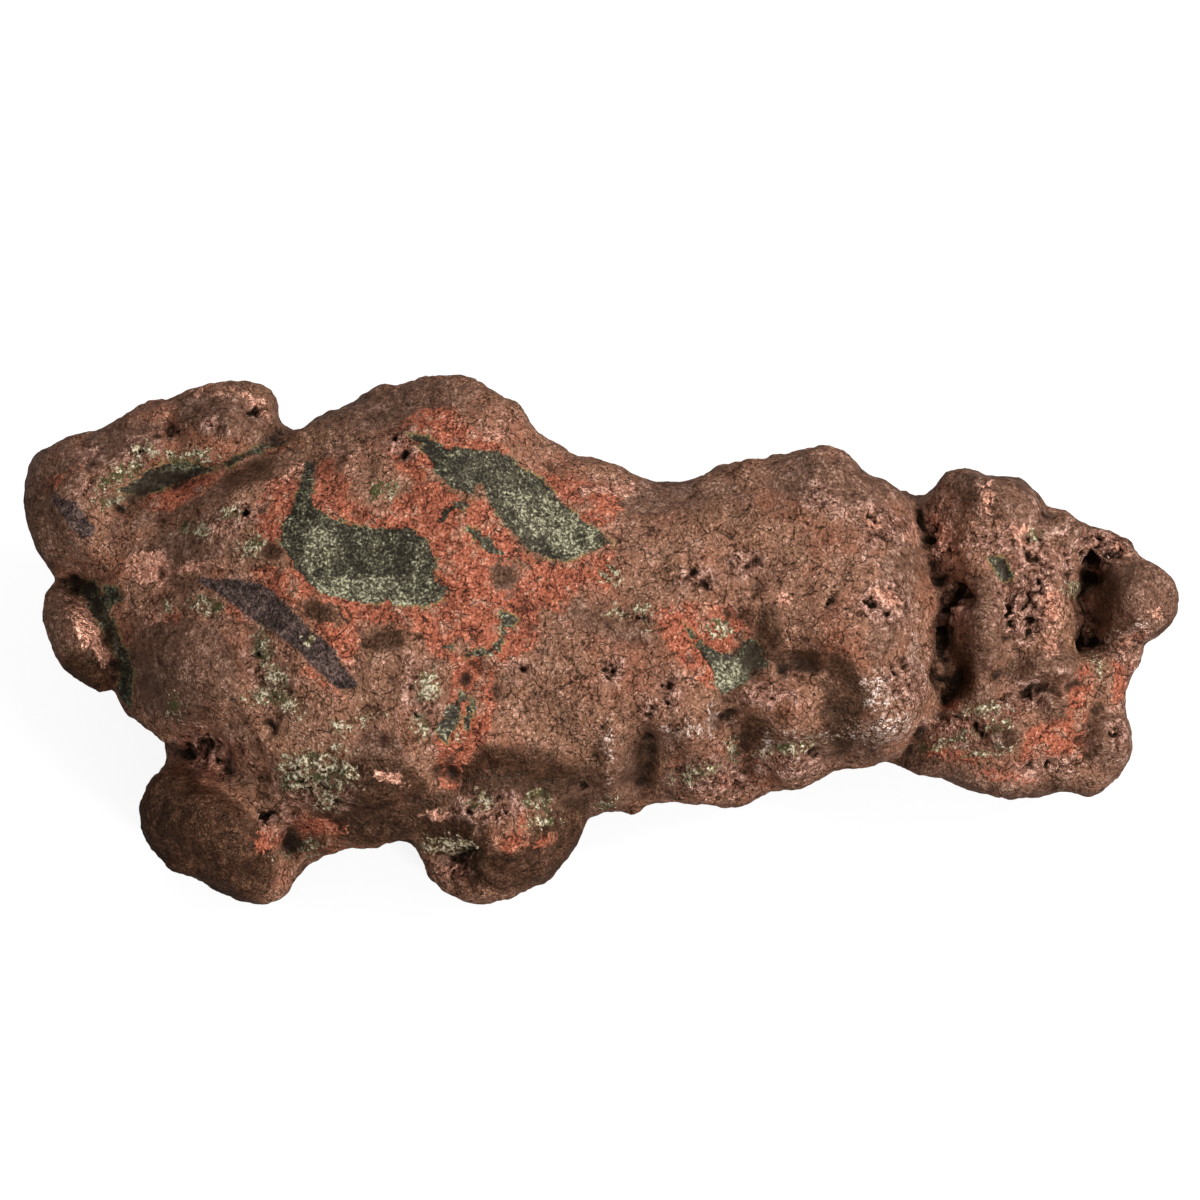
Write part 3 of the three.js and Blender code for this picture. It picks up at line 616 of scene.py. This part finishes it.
CRACKS = [  # line, width, depth
    ([(-0.8, -1), (0.4, -2.3), (1.2, -3.8)], 0.2, 0.3),
    ([(5.7, -3.6), (5.5, -4.8), (6, -6)], 0.18, 0.4),
    ([(-1.4, -5.6), (0.2, -7.2), (1.1, -8.4)], 0.22, 0.3),
    ([(-29, 14.5), (-27.5, 14), (-26, 14.7)], 0.2, 0.35),
    ([(-23, 20), (-19, 21.3), (-16, 21.6)], 0.2, 0.25),
    ([(-35, 6.2), (-33.6, 6), (-31, 6.2)], 0.2, 0.25),
    ([(-3, 4.6), (-3, 3), (-3.2, 2.2)], 0.15, 0.2),
    ([(-34, 2.1), (-31, 1.6), (-28.6, -0.4)], 0.2, 0.2),
    ([(-39, 17.9), (-37.5, 18.2), (-36, 18.4)], 0.25, 0.4),
    ([(0.4, 2.6), (2.4, 1.9), (4.8, 1.2)], 0.3, 0.35),
    ([(15.4, 11.6), (16.2, 10.6), (17, 10.2)], 0.16, 0.25),
    ([(19.6, 3.8), (19.2, 2.6)], 0.2, 0.35),
    ([(-13.6, 2.2), (-16, 2.6), (-19, 2.6)], 0.3, 0.2),
    ([(22, 10.8), (24, 9.8), (24.6, 8.6)], 0.25, 0.4),
]


def pit(places, u, v, radius, depth):
    away = np.hypot(places[:, 0] - u, places[:, 1] - v) / radius
    return -depth * np.exp(-(away**2.6)) + 0.1 * depth * np.exp(-(((away - 1.35) / 0.35) ** 2))


places, normals = read_points(nugget)
kinds = read_kinds(places, normals)
crumbly = ease(kinds["hackly"], -0.2, 0.7)
flush = ease(np.maximum(kinds["rock"], kinds["purple"]), -0.1, 0.3)
rubbed = ease(kinds["smooth"], -0.6, 0.8)
facing = ease(normals[:, 2], -0.1, 0.3)

swell = noise_at(places, lambda p: noise.fractal(p, 1.0, 2.0, 2), 0.17)
dents = noise_at(places, lambda p: noise.fractal(p, 0.8, 2.1, 3), 0.45)
relief = SWELL * swell + DENTS * dents * (1 - 0.8 * flush) * (1 - 0.55 * rubbed)


def crumb_gap(p):
    """How far a place lies from the gap between two crumbs, in shares of a crumb."""
    (nearest, second, _, _), _ = noise.voronoi(p)
    return second - nearest


broken = np.flatnonzero(crumbly > 0.01)
loose = shaken(places[broken], 1.3, 0.3)
gaps = noise_at(loose, crumb_gap, 1.0)
pores = noise_at(loose, noise.noise, 1.1)
open_here = ease(noise_at(loose, noise.noise, 0.35), -0.35, 0.25)
crumbs = CRUMB_HEIGHT * (ease(gaps, 0, 0.4) - 0.75) - PORE_DEPTH * ease(pores, 0.15, 0.5)
relief[broken] += crumbs * crumbly[broken] * open_here

small = np.zeros(len(places))
loose = shaken(shaken(places, 1.0, 0.6), 2.6, 0.3)
for settings in PITS:
    small += pit(loose, *settings)
for settings in CRACKS:
    small += valley(loose, *settings)
relief += small * facing

picker = np.random.default_rng(7)
for n in picker.integers(0, len(places), STREWN_PITS):
    radius = picker.uniform(*STREWN_RADIUS)
    near = np.flatnonzero(np.abs(places - places[n]).max(axis=1) < 2.5 * radius)
    away = np.linalg.norm(loose[near] - loose[n], axis=1) / radius
    wear = (1 - flush[near]) * (1 - 0.7 * rubbed[near])
    relief[near] -= STREWN_DEPTH * radius * np.exp(-(away**2.6)) * wear
write_points(nugget, places + normals * relief[:, None])
print("relief from", round(relief.min(), 1), "to", round(relief.max(), 1), "mm")

# %% [markdown]
# ## Fewer triangles, where they aren't missed
#
# The fine clay has more squares than the finished piece may keep. Decimation merges the flattest
# first, so that the pits and crumbs keep theirs.

# %% Decimate and shade
TRIANGLES = 194_000
apply_modifier(nugget, "TRIANGULATE")
apply_modifier(nugget, "DECIMATE", ratio=min(1, TRIANGLES / len(nugget.data.polygons)))
pick_only(nugget)
bpy.ops.object.shade_smooth()
print("finished skin:", len(nugget.data.polygons), "triangles")

# %% [markdown]
# ## Numbers for the paint
#
# The kinds are read again at the finished points and kept on the mesh as attributes. One more is
# measured rather than drawn: how far a point lies below the smoothed skin around it. Where that is
# large the paint darkens, with dirt and painted shade, and where it is negative the copper is
# painted lighter and the skin made a little metallic.

# %% Attributes
def smoothed_places(piece, rounds):
    copy = piece.copy()
    copy.data = piece.data.copy()
    bpy.context.scene.collection.objects.link(copy)
    apply_modifier(copy, "SMOOTH", factor=0.5, iterations=rounds)
    places, _ = read_points(copy)
    bpy.data.meshes.remove(copy.data)
    return places


def keep_attribute(piece, name, values):
    attribute = piece.data.attributes.new(name, "FLOAT", "POINT")
    attribute.data.foreach_set("value", values.astype(np.float32))


places, normals = read_points(nugget)
kinds = read_kinds(places, normals)
for kind, values in kinds.items():
    keep_attribute(nugget, kind, np.clip(values, -4, 4))
for name, rounds in (("sunk", 14), ("sunk_wide", 160)):
    below = ((smoothed_places(nugget, rounds) - places) * normals).sum(axis=1)
    keep_attribute(nugget, name, below)
    print(name, "mm, 5% and 95%:", np.round(np.percentile(below, (5, 95)), 3))

# %% [markdown]
# ## Laying down the paint
#
# The nugget is one piece, so it has one material, built up in layers as the real skin was: brown
# patina first, then cuprite, broken copper, rock and crust. All patterns read Object coordinates
# in millimetres, so that they have a real scale, and the attributes say where each layer lies.
# Small helpers add a node and link what is given to it, which keeps each layer a few lines long.
# Three of them make patterns: grain is soft noise, crystals are angular and each has one shade,
# and seams are the thin lines between plates, for cracks. Stirring the places first keeps the
# last two from looking like tiles.

# %% Node helpers
def node(tree, kind, inputs=None, **settings):
    made = tree.nodes.new("ShaderNode" + kind)
    for name, value in settings.items():
        setattr(made, name, value)
    for key, value in (inputs or {}).items():
        if isinstance(value, bpy.types.NodeSocket):
            tree.links.new(value, made.inputs[key])
        else:
            made.inputs[key].default_value = value
    return made


def add_up(tree, *terms):
    """Sums terms of (value, factor)."""
    total = 0.0
    for value, factor in terms:
        total = node(tree, "Math", {0: value, 1: factor, 2: total}, operation="MULTIPLY_ADD").outputs[0]
    return total


def times(tree, a, b):
    return node(tree, "Math", {0: a, 1: b}, operation="MULTIPLY").outputs[0]


def larger(tree, a, b):
    return node(tree, "Math", {0: a, 1: b}, operation="MAXIMUM").outputs[0]


def read_attribute(tree, name):
    return node(tree, "Attribute", attribute_name=name).outputs["Fac"]


def rise(tree, value, low, high):
    """0 below low, 1 above high, and smooth between. Works downwards when high is below low."""
    flip = high < low
    made = node(tree, "MapRange", {0: value, 1: min(low, high), 2: max(low, high),
                                   3: float(flip), 4: float(not flip)}, interpolation_type="SMOOTHSTEP")
    return made.outputs[0]


def blend(tree, mask, under, over):
    """Lays the colour over on the colour under where the mask is 1."""
    inputs = {0: mask}
    for key, colour in ((6, under), (7, over)):
        inputs[key] = colour if isinstance(colour, bpy.types.NodeSocket) else (*colour, 1)
    return node(tree, "Mix", inputs, data_type="RGBA").outputs[2]


def blend_value(tree, mask, under, over):
    return node(tree, "Mix", {0: mask, 2: under, 3: over}, data_type="FLOAT").outputs[0]


def grain(tree, place, scale, detail=3.0, rough=0.6, warp=0.0):
    """Noise about 0, mostly within -0.5 and 0.5. scale is in waves per mm."""
    made = node(tree, "TexNoise", {"Vector": place, "Scale": scale, "Detail": detail, "Roughness": rough,
                                   "Distortion": warp})
    return node(tree, "Math", {0: made.outputs["Fac"], 1: 0.5}, operation="SUBTRACT").outputs[0]


def stirred(tree, place, scale, amount):
    """The place, moved by smooth noise by up to about half the amount, in mm."""
    stir = node(tree, "TexNoise", {"Vector": place, "Scale": scale, "Detail": 2.0}).outputs["Color"]
    moved = node(tree, "VectorMath", {0: stir, 1: (amount,) * 3, 2: place}, operation="MULTIPLY_ADD")
    return moved.outputs[0]


def crystals(tree, place, scale):
    """A random number about 0 for each angular grain. scale is in grains per mm."""
    made = node(tree, "TexVoronoi", {"Vector": place, "Scale": scale})
    number = node(tree, "SeparateColor", {0: made.outputs["Color"]}).outputs[0]
    return node(tree, "Math", {0: number, 1: 0.5}, operation="SUBTRACT").outputs[0]


def seams(tree, place, scale, width):
    """1 along the seams between plates, 0 away from them. width is in mm."""
    made = node(tree, "TexVoronoi", {"Vector": place, "Scale": scale}, feature="DISTANCE_TO_EDGE")
    return rise(tree, made.outputs["Distance"], width * scale, 0.0)


# %% [markdown]
# ## A group for ragged patches
#
# Cuprite, rock, crust and bright copper all end in a ragged but crisp border. The attribute gives
# a soft distance. The group adds a wobble to it, and cuts it off over a short way.
# It is used once for each layer, with that layer's own wobble and softness.

# %% Ragged patch group
def make_ragged_patch():
    group = bpy.data.node_groups.new("ragged_patch", "ShaderNodeTree")
    for name, value in (("Distance", 0.0), ("Wobble", 0.0), ("Amount", 0.6), ("Softness", 0.08)):
        socket = group.interface.new_socket(name, in_out="INPUT", socket_type="NodeSocketFloat")
        socket.default_value = value
    group.interface.new_socket("Mask", in_out="OUTPUT", socket_type="NodeSocketFloat")
    given = group.nodes.new("NodeGroupInput").outputs
    result = group.nodes.new("NodeGroupOutput").inputs
    ragged = node(group, "Math", {0: given["Wobble"], 1: given["Amount"], 2: given["Distance"]},
                  operation="MULTIPLY_ADD").outputs[0]
    low = node(group, "Math", {0: given["Softness"], 1: -1.0}, operation="MULTIPLY").outputs[0]
    cut = node(group, "MapRange", {0: ragged, 1: low, 2: given["Softness"]},
               interpolation_type="SMOOTHSTEP")
    group.links.new(cut.outputs[0], result["Mask"])
    return group


ragged_patch = make_ragged_patch()


def patch(tree, kind, wobble, amount, softness):
    made = tree.nodes.new("ShaderNodeGroup")
    made.node_tree = ragged_patch
    tree.links.new(read_attribute(tree, kind), made.inputs["Distance"])
    tree.links.new(wobble, made.inputs["Wobble"])
    made.inputs["Amount"].default_value = amount
    made.inputs["Softness"].default_value = softness
    return made.outputs["Mask"]


# %% [markdown]
# ## The native copper
#
# The colours are linear. Each layer mixes a dark, a middle and a light tone by grains of several
# sizes, because the real skin is speckled right down to tenths of a millimetre. The same grains
# drive the bump, so that a dark speck is also a small hollow. Patina, cuprite and rock are not
# metals, and only rubbed and broken copper is given a metallic value.

# %% Native copper material
PATINA = ((0.058, 0.021, 0.009), (0.255, 0.119, 0.071), (0.68, 0.38, 0.27))
PATINA_RED = (0.26, 0.078, 0.040)
PATINA_OLIVE = (0.12, 0.060, 0.022)
PATINA_PAINTED_GLINT = (0.80, 0.48, 0.36)
SMOOTH_PATINA = ((0.055, 0.023, 0.013), (0.145, 0.068, 0.042), (0.36, 0.21, 0.150))
DARK_PATINA_AND_SHADE_TONES = ((0.012, 0.005, 0.002), (0.036, 0.013, 0.005), (0.11, 0.048, 0.024))
POLISH_AND_HIGHLIGHT_TONES = ((0.16, 0.085, 0.058), (0.37, 0.235, 0.175), (0.82, 0.64, 0.56))
CUPRITE = ((0.045, 0.012, 0.006), (0.33, 0.088, 0.046), (0.74, 0.32, 0.20))
ROCK = ((0.006, 0.006, 0.004), (0.052, 0.047, 0.028), (0.42, 0.40, 0.26))
ROCK_RIM = (0.26, 0.19, 0.07)
PURPLE = ((0.008, 0.005, 0.005), (0.046, 0.028, 0.025), (0.16, 0.10, 0.085))
COPPER = ((0.014, 0.005, 0.003), (0.29, 0.140, 0.097), (0.90, 0.55, 0.43))
RUBBED_COPPER = ((0.030, 0.010, 0.005), (0.44, 0.195, 0.125), (0.92, 0.50, 0.36))
CRUST = ((0.020, 0.013, 0.005), (0.19, 0.135, 0.066), (0.84, 0.73, 0.52))
CRUST_GREEN = (0.062, 0.058, 0.018)
DIRT_AND_SHADE = (0.012, 0.005, 0.002)
SKIN_ROUGHNESS = 0.48
STONE_ROUGHNESS = 0.62


def three_tones(tree, value, tones, low=-0.12, high=0.12):
    """Dark where the value is low, light where it is high, the middle tone between."""
    mixed = blend(tree, rise(tree, value, low * 1.6, 0.0), tones[0], tones[1])
    return blend(tree, rise(tree, value, 0.0, high * 2), mixed, tones[2])


def make_native_copper():
    material = bpy.data.materials.new("native_copper")
    material.use_nodes = True
    tree = material.node_tree
    shader = tree.nodes["Principled BSDF"]
    metres = node(tree, "TexCoord").outputs["Object"]
    place = node(tree, "Mapping", {0: metres, 3: (1 / MM,) * 3}).outputs[0]
    sunk = read_attribute(tree, "sunk")
    sunk_wide = read_attribute(tree, "sunk_wide")

    broad = grain(tree, place, 0.13, 3)
    cloud = grain(tree, place, 0.4, 3)
    mottle = grain(tree, place, 0.8, 3, 0.65, 0.4)
    fleck = grain(tree, place, 2.0, 3, 0.65, 0.3)
    grit = grain(tree, place, 4.4, 2, 0.6)
    loose = stirred(tree, place, 1.6, 0.7)
    crystal = crystals(tree, loose, 4.6)
    ragged = add_up(tree, (mottle, 0.6), (fleck, 0.5))

    rock = patch(tree, "rock", ragged, 2.0, 0.05)
    purple = patch(tree, "purple", add_up(tree, (ragged, 1.0), (0.12, 1.0)), 1.5, 0.1)
    red = patch(tree, "red", add_up(tree, (mottle, 1.0), (fleck, 0.6), (broad, 0.5)), 2.4, 0.2)
    crust = patch(tree, "crust", add_up(tree, (mottle, 0.7), (fleck, 1.3)), 2.4, 0.12)
    bright = patch(tree, "bright", add_up(tree, (mottle, 0.8), (fleck, 1.0)), 2.0, 0.2)
    hackly = patch(tree, "hackly", mottle, 2.6, 0.5)
    smooth = patch(tree, "smooth", add_up(tree, (mottle, 1.0), (broad, 0.6)), 1.8, 0.5)
    # The dark patches: thick patina, and painted shade on the undersides and on slopes turned from the
    # light.
    dark_patina_and_shade = patch(tree, "dark_patina_and_shade", add_up(tree, (mottle, 1.0), (cloud, 0.5), (fleck, 0.5)), 1.8, 0.4)
    # The polished spots: a lower roughness, and pale tones that are a painted highlight.
    polish_and_highlight = patch(tree, "polish_and_highlight", add_up(tree, (mottle, 0.8), (fleck, 1.0)), 2.2, 0.4)
    polish_and_highlight = times(tree, polish_and_highlight, rise(tree, add_up(tree, (fleck, 0.6), (grit, 0.8)), -0.12, 0.12))
    calm = larger(tree, smooth, dark_patina_and_shade)

    # Brown patina: speckled, redder in some broad clouds and more olive in others.
    speckle = add_up(tree, (cloud, 0.35), (mottle, 0.5), (fleck, 0.6), (grit, 0.7), (crystal, 0.12))
    patina = three_tones(tree, speckle, PATINA, -0.15, 0.16)
    reddish = rise(tree, add_up(tree, (broad, 1.0), (fleck, 0.5)), -0.02, 0.2)
    patina = blend(tree, times(tree, reddish, 0.5), patina, PATINA_RED)
    olive = rise(tree, add_up(tree, (broad, -1.0), (mottle, 0.6)), 0.02, 0.25)
    patina = blend(tree, times(tree, olive, 0.4), patina, PATINA_OLIVE)
    # Pale pink specks, painted where tiny glints would shine: painted highlights.
    painted_glint = rise(tree, add_up(tree, (grit, 1.0), (fleck, 0.4)), 0.17, 0.23)
    patina = blend(tree, times(tree, painted_glint, 0.7), patina, PATINA_PAINTED_GLINT)

    # It is plainer where it was rubbed smooth. In the dark patches it is near black: thick patina,
    # and painted shade on the undersides and on slopes turned from the light. On the high spots it is
    # shiny and painted pale, a painted highlight.
    calm_tones = three_tones(tree, times(tree, speckle, 0.9), SMOOTH_PATINA)
    patina = blend(tree, smooth, patina, calm_tones)
    patina = blend(tree, times(tree, dark_patina_and_shade, 0.92), patina, three_tones(tree, speckle, DARK_PATINA_AND_SHADE_TONES))
    patina = blend(tree, polish_and_highlight, patina, three_tones(tree, speckle, POLISH_AND_HIGHLIGHT_TONES))

    # Cuprite: brick red, with salmon grains and dark specks, and broken by islands of patina.
    cuprite_value = add_up(tree, (cloud, 0.3), (mottle, 0.35), (fleck, 0.5), (grit, 0.8),
                           (crystal, 0.2))
    cuprite = three_tones(tree, cuprite_value, CUPRITE, -0.15, 0.15)
    islands = rise(tree, add_up(tree, (cloud, 1.0), (mottle, 0.8), (fleck, 0.4)), 0.07, 0.13)
    red = times(tree, red, blend_value(tree, islands, 1.0, 0.25))
    colour = blend(tree, red, patina, cuprite)

    # Broken copper: crumbs of pinkish metal between black pores. Rubbed copper is redder and shines.
    # Both are painted darker where the skin is sunk: painted shade in the pores and hollows.
    crumb_value = add_up(tree, (mottle, 0.7), (fleck, 0.8), (grit, 0.4), (sunk, -0.6))
    crumbs = three_tones(tree, crumb_value, COPPER)
    colour = blend(tree, times(tree, hackly, 0.7), colour, crumbs)
    bright_value = add_up(tree, (fleck, 0.7), (grit, 0.7), (sunk, -0.5), (0.06, 1.0))
    colour = blend(tree, bright, colour, three_tones(tree, bright_value, RUBBED_COPPER))

    # Short cracks and pores, black with dirt.
    long_cracks = times(tree, seams(tree, loose, 0.55, 0.075), rise(tree, mottle, 0.04, -0.05))
    crazed = rise(tree, add_up(tree, (cloud, 0.8), (mottle, 0.8)), 0.0, 0.07)
    short_cracks = times(tree, seams(tree, loose, 1.25, 0.05), crazed)
    pores = rise(tree, add_up(tree, (fleck, 1.0), (mottle, 0.5)), -0.25, -0.33)
    opened = larger(tree, larger(tree, long_cracks, short_cracks), pores)
    opened = times(tree, opened, blend_value(tree, calm, 1.0, 0.55))
    colour = blend(tree, times(tree, opened, 0.9), colour, DIRT_AND_SHADE)

    # Purple-black band.
    purple_value = add_up(tree, (mottle, 0.8), (fleck, 0.8), (grit, 1.0))
    colour = blend(tree, purple, colour, three_tones(tree, purple_value, PURPLE))

    # Rock: near black with pale grains, more of them where it is ground to dust, and an ochre rim.
    near_rock = rise(tree, add_up(tree, (read_attribute(tree, "rock"), 1.0), (ragged, 0.9)), -0.3, 0.02)
    rim_here = rise(tree, add_up(tree, (mottle, 1.0), (broad, 0.8)), -0.04, 0.12)
    colour = blend(tree, times(tree, near_rock, rim_here), colour, ROCK_RIM)
    dusty = add_up(tree, (read_attribute(tree, "pale_stone"), 1.0), (mottle, 1.6))
    stone_value = add_up(tree, (crystal, 0.22), (grit, 1.0), (fleck, 0.4), (cloud, 0.2), (mottle, 0.4),
                         (rise(tree, dusty, -0.6, 0.6), 0.13), (-0.09, 1.0))
    colour = blend(tree, rock, colour, three_tones(tree, stone_value, ROCK, -0.12, 0.17))

    # Crust: chalky tan, in places green, and full of holes.
    chalk_value = add_up(tree, (read_attribute(tree, "crust"), 0.16), (mottle, 0.5), (fleck, 0.8),
                         (grit, 1.0), (crystal, 0.2))
    chalk = three_tones(tree, chalk_value, CRUST, -0.12, 0.16)
    green = rise(tree, add_up(tree, (cloud, 1.0), (fleck, -0.6)), -0.02, 0.1)
    chalk = blend(tree, green, chalk, CRUST_GREEN)
    unbroken = rise(tree, add_up(tree, (fleck, 1.0), (mottle, 0.5)), -0.14, 0.02)
    colour = blend(tree, times(tree, crust, unbroken), colour, chalk)

    # Dirt and painted shade fill what is sunk: the deeper below the skin round it, the darker.
    dirt_and_shade = add_up(tree, (sunk, 1.0), (sunk_wide, 0.2), (grit, 0.15), (fleck, 0.15), (mottle, 0.1))
    colour = blend(tree, rise(tree, dirt_and_shade, 0.05, 0.3), colour, DIRT_AND_SHADE)
    tree.links.new(colour, shader.inputs["Base Color"])

    # Gloss: high spots are a little metallic, and broken and rubbed copper more so.
    high_spot = rise(tree, add_up(tree, (sunk, 1.0), (sunk_wide, 0.4), (fleck, 0.12)), -0.03, -0.2)
    stony = larger(tree, rock, crust)
    bare = larger(tree, bright, times(tree, hackly, 0.7))
    metal = add_up(tree, (bare, 0.6), (high_spot, 0.25))
    tree.links.new(blend_value(tree, stony, metal, 0.0), shader.inputs["Metallic"])
    rough = add_up(tree, (SKIN_ROUGHNESS, 1.0), (fleck, 0.35), (crystal, 0.2), (red, 0.1),
                   (polish_and_highlight, -0.12), (calm, -0.1))
    tree.links.new(blend_value(tree, stony, rough, STONE_ROUGHNESS), shader.inputs["Roughness"])

    # Fine relief in mm, from the same grains.
    stone_relief = add_up(tree, (grit, 0.07), (fleck, 0.04), (crystal, 0.02))
    skin_relief = add_up(tree, (mottle, 0.5), (fleck, 0.42), (grit, 0.2), (crystal, 0.03))
    skin_relief = blend_value(tree, calm, skin_relief, times(tree, skin_relief, 0.6))
    skin_relief = add_up(tree, (opened, -0.1), (skin_relief, 1.0), (times(tree, hackly, fleck), 0.35))
    height = blend_value(tree, rock, skin_relief, stone_relief)
    crust_relief = times(tree, crust, add_up(tree, (fleck, 0.5), (grit, 0.3)))
    height = add_up(tree, (height, 1.0), (crust_relief, 0.4))
    bump = node(tree, "Bump", {"Height": height, "Distance": MM, "Strength": 1.0})
    tree.links.new(bump.outputs[0], shader.inputs["Normal"])
    shader.inputs["Specular IOR Level"].default_value = 0.25
    shader.inputs["Specular Tint"].default_value = (1.0, 0.80, 0.66, 1.0)
    print("native copper:", len(tree.nodes), "nodes")
    return material


nugget.data.materials.clear()
nugget.data.materials.append(make_native_copper())

# %% [markdown]
# ## Floor and light
#
# The nugget lies on a plain white floor in soft light that comes mostly from above and to the
# right. A second, lower softbox in front on the right puts a gloss on the lumps that lean that
# way. The surroundings are brighter on the right than on the left, so that a lump has a dark
# side. The floor sends back less light than it shows, as a floor with a dark room round it would.

# %% Floor
FLOOR_SIDE = 6.0
bpy.ops.mesh.primitive_plane_add(size=FLOOR_SIDE)
floor = bpy.context.object
floor.name = "floor"


def make_pale_floor():
    material = bpy.data.materials.new("pale_floor")
    material.use_nodes = True
    tree = material.node_tree
    seen = node(tree, "LightPath").outputs["Is Camera Ray"]
    colour = blend(tree, seen, (0.12, 0.12, 0.12), (0.2, 0.2, 0.2))
    glow = blend(tree, seen, (0, 0, 0), (0.88, 0.88, 0.88))
    shader = tree.nodes["Principled BSDF"]
    tree.links.new(colour, shader.inputs["Base Color"])
    tree.links.new(glow, shader.inputs["Emission Color"])
    shader.inputs["Emission Strength"].default_value = 1.0
    shader.inputs["Roughness"].default_value = 0.9
    shader.inputs["Specular IOR Level"].default_value = 0.1
    return material


floor.data.materials.append(make_pale_floor())


# %% Surroundings and softboxes
def make_studio():
    world = bpy.data.worlds.new("studio")
    world.use_nodes = True
    tree = world.node_tree
    toward = node(tree, "TexCoord").outputs["Generated"]
    brighter = node(tree, "VectorMath", {0: toward, 1: (0.8, 0.0, 0.6)}, operation="DOT_PRODUCT")
    strength = node(tree, "MapRange", {0: brighter.outputs["Value"], 1: -0.8, 2: 0.9, 3: 0.47, 4: 0.70})
    tree.links.new(strength.outputs[0], tree.nodes["Background"].inputs["Strength"])
    tree.nodes["Background"].inputs["Color"].default_value = (1, 1, 1, 1)
    return world


bpy.context.scene.world = make_studio()
bpy.context.scene.view_settings.view_transform = "Standard"
LIT_MIDDLE = Vector((0, 0, 0.015))


def softbox(name, toward, away, size, power):
    data = bpy.data.lights.new(name, "AREA")
    data.shape = "DISK"
    data.size = size
    data.energy = power
    lamp = bpy.data.objects.new(name, data)
    lamp.location = LIT_MIDDLE + Vector(toward).normalized() * away
    lamp.rotation_euler = (LIT_MIDDLE - lamp.location).to_track_quat("-Z", "Y").to_euler()
    bpy.context.scene.collection.objects.link(lamp)


softbox("key", (0.72, 0.0, 0.64), 0.9, 0.3, 7.3)
softbox("low_front_right", (0.5, -0.75, 0.36), 0.85, 0.18, 4.9)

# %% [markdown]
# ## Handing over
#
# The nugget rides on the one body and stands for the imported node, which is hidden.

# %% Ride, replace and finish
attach(nugget, "root")
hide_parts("nugget")
